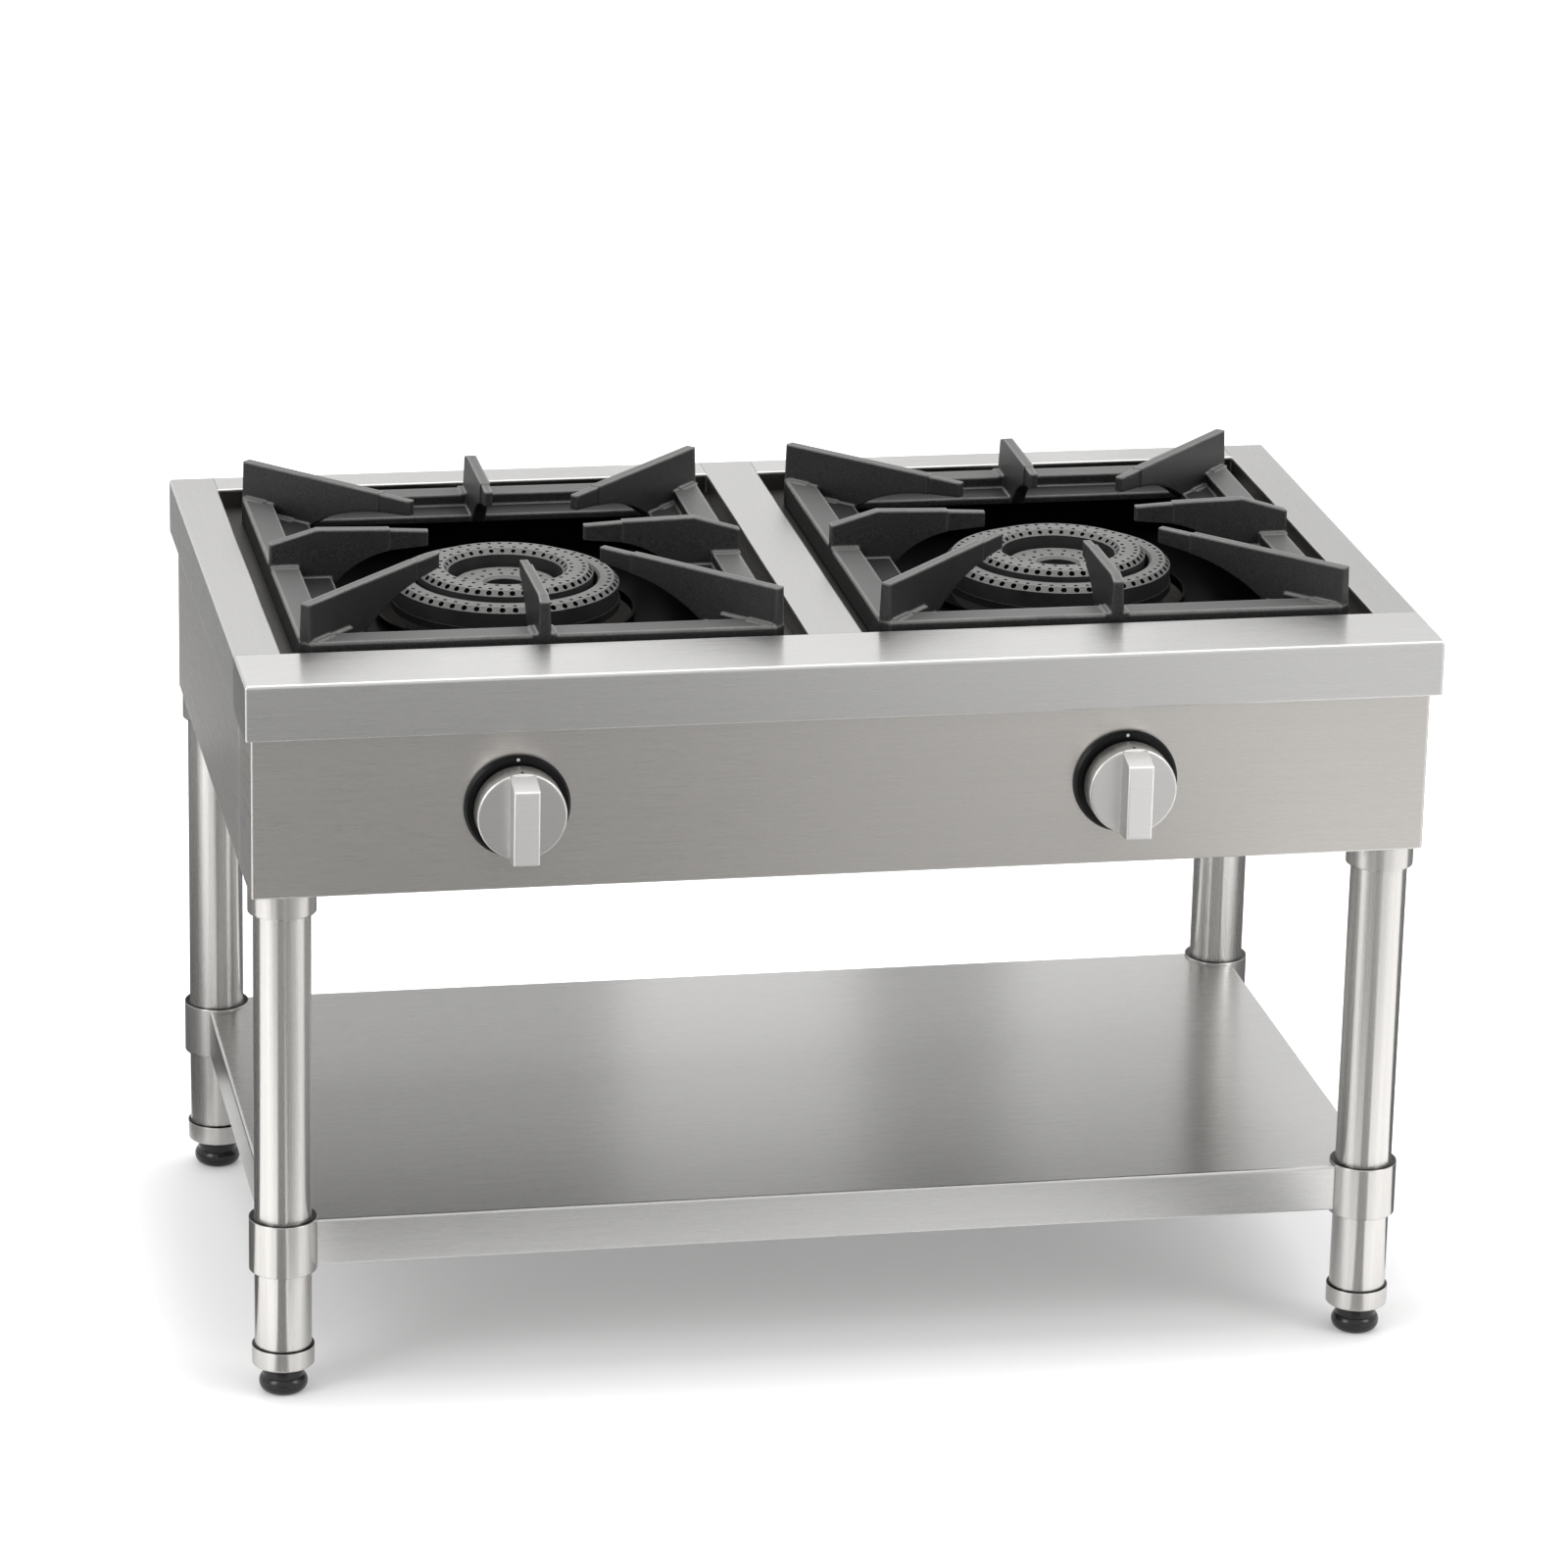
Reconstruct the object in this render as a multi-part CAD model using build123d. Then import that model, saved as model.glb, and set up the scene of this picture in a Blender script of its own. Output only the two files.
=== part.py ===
"""Two-burner stock pot range on a low stand, in millimetres.

A folded stainless worktop with two cut-outs stands on four round legs that carry an undershelf.
Each cut-out holds a cast grate over an enamelled drip pan and a three-ring cast burner, fed
through a tap behind the front panel. +X is to the cook's right, +Y to the back, +Z up, and the
origin is on the floor under the middle of the range.
"""

from build123d import *
import os
from math import atan2, degrees, hypot, sqrt

# Worktop and body
top_width = 1000.0
top_depth = 600.0
top_height = 635.0
sheet = 1.5
edge_fall = 47.0
edge_bend = 2.5
side_inset = 6.0
face_inset = 15.0
body_height = 140.0
front_return = 85.0
panel_seam = 0.8
panel_flange = 15.0

# Rails left round the cut-outs for the burners
side_rail = 39.0
bridge_width = 46.0
front_rail = 84.0
back_rail = 38.0
opening_rim = 18.0
opening_bend = 1.2

# Legs, sockets and feet
leg_radius = 24.0
leg_wall = 1.2
leg_inset_x = 28.5
leg_inset_y = 29.0
collar_radius = 28.5
collar_gap = 0.15
ring_chamfer = 1.0
socket_drop = 20.0
gusset_size = 92.0
gusset_thickness = 3.0
foot_height = 25.0
foot_travel = 25.0
foot_neck_radius = 17.5
foot_bulge_radius = 20.5
foot_bulge_height = 7.5
foot_sole_radius = 15.0
foot_waist = 13.8
foot_bead = 1.0
foot_socket_radius = 26.3
foot_socket_height = 18.0
foot_socket_floor = 3.0
stud_radius = 8.0
stud_length = 62.0
nut_wall = 6.0
thread_gap = 0.05
set_screw_radius = 3.0
set_screw_reach = 2.0

# Undershelf
shelf_height = 155.0
shelf_fall = 40.0
shelf_hem = 10.0
shelf_overlap = 9.3
shelf_bend = 2.5
collar_height = 46.0
collar_rise = 2.0
stiffener_width = 60.0
stiffener_depth = 25.0
stiffener_lip = 14.0

# Grate support and drip pan
ledge_overlap = 19.0
pan_sheet = 1.2
pan_gap = 3.0
pan_depth = 27.0
pan_corner = 22.0
pan_flange_margin = 2.0
pan_hole_radius = 109.0
pan_collar_height = 8.0

# Cast grate
grate_side_gap = 17.0
grate_front_gap = 9.0
grate_back_gap = 33.0
grate_corner = 4.0
grate_corner_cut = 8.5
grate_rise = 5.0
bar_width = 24.0
bar_chamfer = 1.5
step_drop = 10.0
step_thickness = 6.0
side_step = 28.0
end_step = 30.0
finger_rise = 37.0
finger_foot_half = 6.4
finger_top_half = 4.2
side_outer_drop = 12.0
side_ramp = 40.0
side_tip_drop = 3.5
side_tip_length = 33.0
side_tip_radius = 67.0
end_outer_drop = 4.0
end_ramp = 12.0
end_tip_drop = 2.0
end_tip_length = 20.0
end_tip_radius = 101.0
corner_inset = 6.4
corner_ramp = 30.0
corner_tip_length = 33.0
corner_tip_radius = 104.0
tip_half = 3.4
tip_height = 14.0
tip_step = 1.0
arch_gap = 3.0
arch_reach = 0.45
arch_rise = 0.66
pad_proud = 4.0
pad_rise = 1.0
rib_length = 56.0
rib_height = 3.0
rib_proud = 1.8

# Burner
burner_back = 23.0
outer_crown = (79.0, 97.0, 19.0)
middle_crown = (49.0, 75.0, 21.0)
inner_crown = (17.0, 45.0, 15.0)
crown_top_gap = 2.0
crown_lift = 8.0
inner_crown_drop = 14.0
crown_wall = 3.5
crown_bevel = 4.5
crown_inner_bevels = (2.0, 3.0, 2.5)
port_radius = 2.3
port_slope = 68.0
outer_ports = 54
middle_ports = 46
middle_inner_ports = 34
seat_lip = 1.0
eye_wall = 3.0
dish_depth = 30.0
dish_flange = 6.0
dish_shoulder = (8.0, 18.0)
dish_foot = (10.0, 25.0, 2.0)
hub_radius = 32.0
mixer_axis_drop = 67.0
mixer_radius = 20.0
mixer_throat = 14.0
mixer_wall = 3.5
injector_setback = 71.5
throat_from, throat_to = 0.6, 0.7
injector_gap = 10.0
bracket_reach = 24.0
bracket_grip = 8.0
bracket_plate = 3.0
bracket_height = 18.0
injector_thread = 5.0
injector_hex = 16.0
injector_hex_length = 11.0
injector_neck = 3.0
jet_radius = 3.6
rail_offset = 55.0
rail_width = 30.0
rail_height = 15.0
rail_sheet = 2.0
rail_drop = 75.0
lug_width = 16.0
lug_offset = 58.0

# Gas train
manifold_radius = 10.65
manifold_bore = 8.1
manifold_setback = 66.0
manifold_tail = 54.0
manifold_cap = 4.0
manifold_hole_gap = 1.0
manifold_bend = 30.0
inlet_inset = 54.0
inlet_shoulder = 2.0
inlet_thread_radius = 10.48
inlet_thread_length = 18.0
inlet_hex = 32.0
inlet_hex_length = 12.0
valve_radius = 16.0
valve_neck_radius = 11.0
valve_neck_length = 7.0
valve_tail_radius = 9.5
plug_radius = 9.0
plug_length = 24.0
plug_gap = 0.05
plug_seat = 4.0
stem_radius = 4.0
stem_flat = 2.9
stem_hole_radius = 6.0
key_wall = 4.0
pipe_radius = 4.0
pipe_wall = 0.8
pipe_bend = 11.0
pipe_lead = 14.0
outlet_height = 3.0
outlet_wall = 2.5

# Knobs, with the off mark at the top
left_knob_offset = -34.0
right_knob_offset = -8.0
knob_drop = 68.0
bezel_radius = 44.0
bezel_thickness = 5.0
bezel_bevel = 2.0
bezel_hole_gap = 1.0
knob_gap = 5.0
knob_radius = 37.0
knob_skirt = 21.0
knob_wall = 3.0
knob_edge = 1.6
knob_boss = 9.0
grip_width = 21.5
grip_depth = 25.0
grip_slope = 6.0
grip_edge = 1.5
push_travel = 4.0

# Back panel screws
screw_head_radius = 4.5
screw_head_height = 2.6
screw_head_round = 1.5
screw_margin = 24.0
screw_columns = 3

# Heights and faces that follow from the sizes above
half_width = top_width / 2
half_depth = top_depth / 2
body_x = half_width - side_inset
body_y = half_depth - face_inset
body_low = top_height - edge_fall - body_height
body_high = top_height - sheet
gusset_top = body_low + gusset_thickness
leg_x = body_x - leg_inset_x
leg_y = body_y - leg_inset_y
opening_width = (top_width - bridge_width) / 2 - side_rail
opening_front = -half_depth + front_rail
opening_back = half_depth - back_rail
burner_x = (bridge_width + opening_width) / 2
grate_width = opening_width - 2 * grate_side_gap
grate_depth = opening_back - opening_front - grate_front_gap - grate_back_gap
burner_y = opening_front + grate_front_gap + grate_depth / 2
knob_z = top_height - edge_fall - knob_drop
ledge_top = top_height - opening_rim
pan_rim_top = ledge_top + pan_sheet
pan_floor = ledge_top - pan_depth
grate_top = top_height + grate_rise
step_top = grate_top - step_drop
pot_plane = top_height + finger_rise
middle_crown_top = top_height - crown_top_gap
outer_crown_top = middle_crown_top - crown_lift
inner_crown_top = middle_crown_top - inner_crown_drop
mixer_axis = middle_crown_top - mixer_axis_drop
rail_top = top_height - rail_drop
panel_back = -body_y + sheet
manifold_y = panel_back + manifold_setback
injector_y = panel_back + injector_setback
mixer_length = burner_y - bracket_reach - injector_hex_length - injector_y
collar_top = shelf_height + collar_rise
collar_low = collar_top - collar_height
shelf_x = leg_x + shelf_overlap
shelf_y = leg_y + shelf_overlap
bezel_face = -body_y - bezel_thickness
knob_back = bezel_face - knob_gap
knob_face = knob_back - knob_skirt
grip_face = knob_face - grip_depth
inlet_end = -grip_face
SIDES = {"left": -1, "right": 1}
CORNERS = {"front_left": (-1, -1), "front_right": (1, -1), "back_left": (-1, 1), "back_right": (1, 1)}
KNOB_X = {"left": -burner_x + left_knob_offset, "right": burner_x + right_knob_offset}
manifold_left = KNOB_X["left"] - manifold_tail
manifold_right = body_x - inlet_inset

parts = {}


def block(x0, x1, y0, y1, z0, z1):
    """A box between two corners."""
    return Pos((x0 + x1) / 2, (y0 + y1) / 2, (z0 + z1) / 2) * Box(x1 - x0, y1 - y0, z1 - z0)


def rod(radius, low, high):
    """An upright cylinder on the Z axis."""
    return Pos(0, 0, (low + high) / 2) * Cylinder(radius, high - low)


def rod_y(radius, front, back, x=0.0, z=0.0):
    """A cylinder along Y."""
    return Pos(x, (front + back) / 2, z) * Rot(90, 0, 0) * Cylinder(radius, back - front)


def rod_between(radius, start, end):
    """A cylinder from one point to another."""
    line = Vector(*end) - Vector(*start)
    plane = Plane(origin=start, z_dir=line)
    return extrude(plane * Circle(radius), amount=line.length)


def lathe(points):
    """A profile of (radius, height) points turned round the Z axis."""
    face = Plane.XZ * make_face(Polyline(*points, close=True))
    return revolve(face, Axis.Z)


def plate(width, depth, corner, low, high):
    """A rounded rectangle on the origin, between two heights."""
    outline = RectangleRounded(width, depth, corner)
    return Pos(0, 0, low) * extrude(outline, amount=high - low)


def tube_along(radius, wall, points, bend):
    """A round tube along straight runs joined by bends; wall 0 leaves it solid."""
    path = FilletPolyline(*points, radius=bend)
    start = Plane(origin=points[0], z_dir=path % 0)
    tube = sweep(start * Circle(radius), path=path)
    if wall:
        tube -= sweep(start * Circle(radius - wall), path=path)
    return tube


def edges_at_height(shape, z):
    """The edges that lie in one horizontal plane."""
    return shape.edges().filter_by_position(Axis.Z, z - 0.01, z + 0.01)


# Worktop: one folded sheet, welded at the corners, with a turned-down rim round each cut-out
def make_worktop():
    low = top_height - edge_fall
    skin = block(-half_width, half_width, -half_depth, half_depth, low, top_height)
    skin = fillet(skin.edges().filter_by(Axis.Z) + edges_at_height(skin, top_height), edge_bend)
    inner_x, inner_y = half_width - sheet, half_depth - sheet
    skin -= block(-inner_x, inner_x, -inner_y, inner_y, low + sheet, top_height - sheet)
    skin -= block(-body_x, body_x, -body_y, body_y, low, low + sheet)
    for side in SIDES.values():
        x0 = side * burner_x - opening_width / 2
        x1 = side * burner_x + opening_width / 2
        skin += block(x0 - sheet, x1 + sheet, opening_front - sheet, opening_back + sheet,
                      ledge_top, top_height - sheet)
        skin -= block(x0, x1, opening_front, opening_back, ledge_top, top_height)
    rail = min(side_rail, front_rail, back_rail) / 2
    mouths = [e for e in edges_at_height(skin, top_height)
              if abs(e.center().X) < half_width - rail and abs(e.center().Y) < half_depth - rail]
    return fillet(mouths, opening_bend)


parts["worktop"] = make_worktop()


# Body: a wrap-round front panel, two flat sides and a back, each with a turned-in foot flange
def make_front_panel():
    shell = block(-body_x, body_x, -body_y, -body_y + front_return, body_low, body_high)
    front_edges = shell.edges().filter_by(Axis.Z).sort_by(Axis.Y)[:2]
    shell = fillet(front_edges, edge_bend)
    shell -= block(-body_x + sheet, body_x - sheet, panel_back, -body_y + front_return, body_low, body_high)
    flange_x = body_x - sheet - gusset_size
    shell += block(-flange_x, flange_x, panel_back, panel_back + panel_flange, body_low, body_low + sheet)
    for x in KNOB_X.values():
        shell -= rod_y(stem_hole_radius, -body_y, panel_back, x, knob_z)
    return shell


def make_side_panel(side):
    front = -body_y + front_return + panel_seam
    panel = block(body_x - sheet, body_x, front, body_y, body_low, body_high)
    flange_y = body_y - sheet - gusset_size
    panel += block(body_x - sheet - panel_flange, body_x - sheet, -flange_y, flange_y, body_low, body_low + sheet)
    return panel if side > 0 else mirror(panel, Plane.YZ)


def screw_places():
    """Where the back panel's screws go: a row along the top and one along the foot."""
    reach = body_x - screw_margin
    columns = [reach * (2 * i / (screw_columns - 1) - 1) for i in range(screw_columns)]
    return [(x, z) for x in columns for z in (body_low + screw_margin, top_height - edge_fall - screw_margin)]


def make_back_panel():
    inner_x = body_x - sheet
    panel = block(-inner_x, inner_x, body_y - sheet, body_y, body_low, body_high)
    flange_x = inner_x - gusset_size
    panel += block(-flange_x, flange_x, body_y - sheet - panel_flange, body_y - sheet, body_low, body_low + sheet)
    panel -= rod_y(manifold_radius + manifold_hole_gap, body_y - sheet, body_y, manifold_right, knob_z)
    return panel


def make_back_screws():
    heads = []
    for x, z in screw_places():
        dome = rod(screw_head_radius, 0, screw_head_height)
        dome = fillet(edges_at_height(dome, screw_head_height), screw_head_round)
        heads.append(Pos(x, body_y, z) * Rot(-90, 0, 0) * dome)
    return Compound(children=heads)


parts["front_panel"] = make_front_panel()
for name, side in SIDES.items():
    parts[f"{name}_side_panel"] = make_side_panel(side)
parts["back_panel"] = make_back_panel()
parts["back_panel_screws"] = make_back_screws()


# Legs: a gusset and a socket in each corner of the body, a round tube, and a screw foot
def at_corners(shape):
    """One copy of a front-right piece in each corner, turned to face inwards."""
    copies = []
    for x, y in CORNERS.values():
        piece = shape if x > 0 else mirror(shape, Plane.YZ)
        copies.append(piece if y < 0 else mirror(piece, Plane.XZ))
    return Compound(children=copies)


def make_gusset():
    x1, y0 = body_x - sheet, -body_y + sheet
    corner = [(x1, y0), (x1, y0 + gusset_size), (x1 - gusset_size / 2, y0 + gusset_size),
              (x1 - gusset_size, y0 + gusset_size / 2), (x1 - gusset_size, y0)]
    outline = make_face(Polyline(*corner, close=True))
    return Pos(0, 0, body_low) * extrude(outline, amount=gusset_thickness)


def set_screw_at(height):
    """A grub screw through the inward side of a ring on the front-right leg."""
    return (leg_x, -leg_y, height), (-sqrt(0.5), sqrt(0.5), 0)


def make_set_screw(height, grow=0.0, inner=0.0):
    origin, outward = set_screw_at(height)
    start = [origin[i] + outward[i] * (leg_radius + collar_gap + inner) for i in range(3)]
    end = [origin[i] + outward[i] * (collar_radius + set_screw_reach) for i in range(3)]
    return rod_between(set_screw_radius + grow, start, end)


def make_leg_ring(low, high, screw_height):
    ring = rod(collar_radius, low, high) - rod(leg_radius + collar_gap, low, high)
    ring = Pos(leg_x, -leg_y, 0) * ring
    return ring - make_set_screw(screw_height, inner=-leg_radius / 2)


socket_low = body_low - socket_drop
screw_heights = (body_low - socket_drop / 2, (collar_low + collar_top) / 2)
parts["leg_gussets"] = at_corners(make_gusset())
parts["leg_sockets"] = at_corners(make_leg_ring(socket_low, body_low, screw_heights[0]))
parts["shelf_collars"] = at_corners(make_leg_ring(collar_low, collar_top, screw_heights[1]))
parts["set_screws"] = at_corners(Compound(children=[make_set_screw(h) for h in screw_heights]))

leg_low = foot_height + foot_socket_floor
leg_tube = rod(leg_radius, leg_low, body_low) - rod(leg_radius - leg_wall, leg_low, body_low)
stud_top = foot_height + stud_length
nut_radius = stud_radius + nut_wall


def make_foot_socket():
    ring_top = foot_height + foot_socket_height
    cup = rod(foot_socket_radius, foot_height, ring_top)
    cup = chamfer(edges_at_height(cup, ring_top) + edges_at_height(cup, foot_height), ring_chamfer)
    cup -= rod(leg_radius, leg_low, ring_top)
    cup += rod(nut_radius, leg_low, ring_top)
    return Pos(leg_x, -leg_y, 0) * (cup - rod(stud_radius + thread_gap, foot_height, ring_top))


def make_foot():
    bead = foot_neck_radius + foot_bead
    outline = Line((0, 0), (foot_sole_radius, 0))
    outline += ThreePointArc((foot_sole_radius, 0), (foot_bulge_radius, foot_bulge_height), (bead, foot_waist))
    outline += Polyline((bead, foot_waist), (foot_neck_radius, foot_waist + foot_bead),
                        (foot_neck_radius, foot_height), (0, foot_height), (0, 0))
    return revolve(Plane.XZ * make_face(outline), Axis.Z)


parts["foot_sockets"] = at_corners(make_foot_socket())
for name, (x, y) in CORNERS.items():
    place = Pos(x * leg_x, y * leg_y, 0)
    parts[f"{name}_leg"] = place * leg_tube
    parts[f"{name}_foot"] = place * make_foot()
    parts[f"{name}_foot_stud"] = place * chamfer(
        edges_at_height(rod(stud_radius, foot_height, stud_top), stud_top), ring_chamfer)


# Undershelf: a folded tray turned upside down, cut away round the leg collars
def make_undershelf():
    low = shelf_height - shelf_fall
    tray = block(-shelf_x, shelf_x, -shelf_y, shelf_y, low, shelf_height)
    tray = fillet(edges_at_height(tray, shelf_height), shelf_bend)
    inner_x, inner_y = shelf_x - sheet, shelf_y - sheet
    tray -= block(-inner_x, inner_x, -inner_y, inner_y, low + sheet, shelf_height - sheet)
    mouth_x, mouth_y = inner_x - shelf_hem, inner_y - shelf_hem
    tray -= block(-mouth_x, mouth_x, -mouth_y, mouth_y, low, low + sheet)
    for x, y in CORNERS.values():
        tray -= Pos(x * leg_x, y * leg_y, 0) * rod(collar_radius, low, shelf_height)
    return tray


def make_stiffener():
    top = shelf_height - sheet
    low = top - stiffener_depth
    reach = shelf_x - sheet
    half = stiffener_width / 2
    hat = block(-reach, reach, -half - stiffener_lip, half + stiffener_lip, top - sheet, top)
    hat += block(-reach, reach, -half, half, low, top)
    return hat - block(-reach, reach, -half + sheet, half - sheet, low + sheet, top)


parts["undershelf"] = make_undershelf()
parts["shelf_stiffener"] = make_stiffener()


# Grate support: an angle frame under each cut-out that carries the pan and the grate
def make_grate_support():
    low = ledge_top - sheet
    outer_x, reach = opening_width / 2 + 2 * sheet, 2 * sheet
    frame = block(-outer_x, outer_x, opening_front - reach, opening_back + reach, low, body_high)
    rim_x, reach = outer_x - sheet, sheet
    frame -= block(-rim_x, rim_x, opening_front - reach, opening_back + reach, ledge_top, body_high)
    hole_x, hole_y = grate_width / 2 - ledge_overlap, grate_depth / 2 - ledge_overlap
    return frame - block(-hole_x, hole_x, burner_y - hole_y, burner_y + hole_y, low, ledge_top)


# Drip pan: pressed and enamelled, with a collar round the burner
def make_drip_pan():
    well_width = grate_width - 2 * (ledge_overlap + pan_gap)
    well_depth = grate_depth - 2 * (ledge_overlap + pan_gap)
    flange_width = grate_width - 2 * pan_flange_margin
    flange_depth = grate_depth - 2 * pan_flange_margin
    pan = plate(flange_width, flange_depth, pan_corner / 2, ledge_top, pan_rim_top)
    pan += plate(well_width, well_depth, pan_corner, pan_floor, ledge_top)
    pan -= plate(well_width - 2 * pan_sheet, well_depth - 2 * pan_sheet, pan_corner - pan_sheet,
                 pan_floor + pan_sheet, pan_rim_top)
    collar_high = pan_floor + pan_collar_height
    pan += rod(pan_hole_radius + pan_sheet, pan_floor, collar_high)
    pan += rod(pan_hole_radius + 2 * pan_sheet, collar_high - pan_sheet, collar_high)
    return pan - rod(pan_hole_radius, pan_floor, collar_high)


# Cast grate: a stepped frame with eight fingers, thinner towards their tips
def finger_profile(length, arch_foot, outer_drop, ramp, tip_drop, tip_length):
    """Side view of a finger: x runs inwards from its outer end, y is height."""
    base = step_top - step_thickness
    tip_start = length - tip_length
    tip_top = pot_plane - tip_drop
    tip_low = tip_top - tip_height
    shoulder_top = (pot_plane + tip_top) / 2
    shoulder_low = tip_low - arch_gap
    arch_mid = (arch_foot + arch_reach * (tip_start - arch_foot), base + arch_rise * (shoulder_low - base))
    edge = Polyline((0, pan_rim_top), (0, pot_plane - outer_drop), (ramp, pot_plane), (tip_start, shoulder_top),
                    (tip_start, shoulder_top - tip_step), (length, tip_top - tip_step), (length, tip_low),
                    (tip_start, shoulder_low))
    edge += ThreePointArc((tip_start, shoulder_low), arch_mid, (arch_foot, base))
    edge += Polyline((arch_foot, base), (bar_width / 2, base), (bar_width / 2, pan_rim_top), (0, pan_rim_top))
    return make_face(edge)


def make_finger(length, arch_foot, outer_drop, ramp, tip_drop, tip_length):
    """A finger along +X with drafted sides, wide at its foot, and a narrower tip."""
    outline = finger_profile(length, arch_foot, outer_drop, ramp, tip_drop, tip_length)
    slab = extrude(Plane.XZ * outline, amount=finger_foot_half, both=True)
    foot, crest = (finger_foot_half, pan_rim_top), (finger_top_half, pot_plane)
    section = make_face(Polyline((-foot[0], foot[1]), foot, crest, (-crest[0], crest[1]), close=True))
    finger = slab & extrude(Plane.YZ * section, amount=length)
    tip_start = length - tip_length
    for y0, y1 in ((tip_half, finger_foot_half), (-finger_foot_half, -tip_half)):
        finger -= block(tip_start, length, y0, y1, pan_rim_top, pot_plane)
    return finger


def make_middle_finger(reach, tip_radius, step, *shape):
    """A finger square to its bar, standing on a pad that wraps over the bar."""
    finger = make_finger(reach - tip_radius, bar_width + step + arch_gap, *shape)
    half = finger_foot_half + pad_proud
    return finger + block(0, bar_width, -half, half, pan_rim_top, grate_top + pad_rise)


def make_corner_finger(reach, rib_side):
    """A diagonal finger with pads on bar and step, and a rib on the side that faces front or back."""
    bar_end = bar_width * sqrt(2) - corner_inset
    step_end = bar_end + end_step * sqrt(2)
    finger = make_finger(reach - corner_tip_radius, step_end, 0.0, corner_ramp, 0.0, corner_tip_length)
    half = finger_foot_half + pad_proud
    finger += block(pad_proud, bar_end, -half, half, pan_rim_top, grate_top + pad_rise)
    finger += block(bar_end, step_end - half, -half, half, step_top - step_thickness, step_top + pad_rise)
    near, far = sorted((0.0, rib_side * (finger_foot_half + rib_proud)))
    return finger + block(bar_end, rib_length, near, far, grate_top - rib_height, grate_top)


def make_grate():
    frame = block(-grate_width / 2, grate_width / 2, -grate_depth / 2, grate_depth / 2, pan_rim_top, grate_top)
    frame = chamfer(frame.edges().filter_by(Axis.Z), grate_corner_cut)
    frame = chamfer(edges_at_height(frame, grate_top), bar_chamfer)
    inner_width, inner_depth = grate_width - 2 * bar_width, grate_depth - 2 * bar_width
    frame -= plate(inner_width, inner_depth, grate_corner, pan_rim_top, grate_top)
    step = plate(inner_width, inner_depth, grate_corner, step_top - step_thickness, step_top)
    step -= plate(inner_width - 2 * side_step, inner_depth - 2 * end_step, grate_corner,
                  step_top - step_thickness, step_top)
    grate = frame + step
    side_reach, end_reach = grate_width / 2, grate_depth / 2
    corner_reach = hypot(side_reach, end_reach) - corner_inset
    side_finger = make_middle_finger(side_reach, side_tip_radius, side_step,
                                     side_outer_drop, side_ramp, side_tip_drop, side_tip_length)
    end_finger = make_middle_finger(end_reach, end_tip_radius, end_step,
                                    end_outer_drop, end_ramp, end_tip_drop, end_tip_length)
    corner_fingers = {side: make_corner_finger(corner_reach, side) for side in (-1, 1)}
    diagonal = degrees(atan2(grate_depth, grate_width))
    for half_turn in (0, 180):
        for turn, reach, finger in ((0, side_reach, side_finger), (90, end_reach, end_finger),
                                    (diagonal, corner_reach, corner_fingers[-1]),
                                    (-diagonal, corner_reach, corner_fingers[1])):
            grate += Rot(0, 0, half_turn + turn) * Pos(reach, 0, 0) * Rot(0, 0, 180) * finger
    return grate


# Burner: a cast dish with a mixing tube, and three ported crowns that sit in it
def make_crown(sizes, top, bevel_out, bevel_in):
    """An upturned channel of revolution: top face, bevelled shoulders and two walls."""
    inner, outer, height = sizes
    low = top - height
    shell = lathe([(inner, low), (inner, top - bevel_in), (inner + bevel_in, top), (outer - bevel_out, top),
                   (outer, top - bevel_out), (outer, low)])
    roof = top - crown_wall
    return shell - (rod(outer - crown_wall, low, roof - bevel_out / 2) - rod(inner + crown_wall, low, roof))


def drill_ports(crown, radius, height, slope, count):
    """A ring of burner ports through a crown's shoulder; the slope is from the upright, outwards."""
    drill = Pos(radius, 0, height) * Rot(0, slope, 0) * Cylinder(port_radius, 4 * crown_bevel)
    return crown - [Rot(0, 0, 360 * i / count) * drill for i in range(count)]


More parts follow.
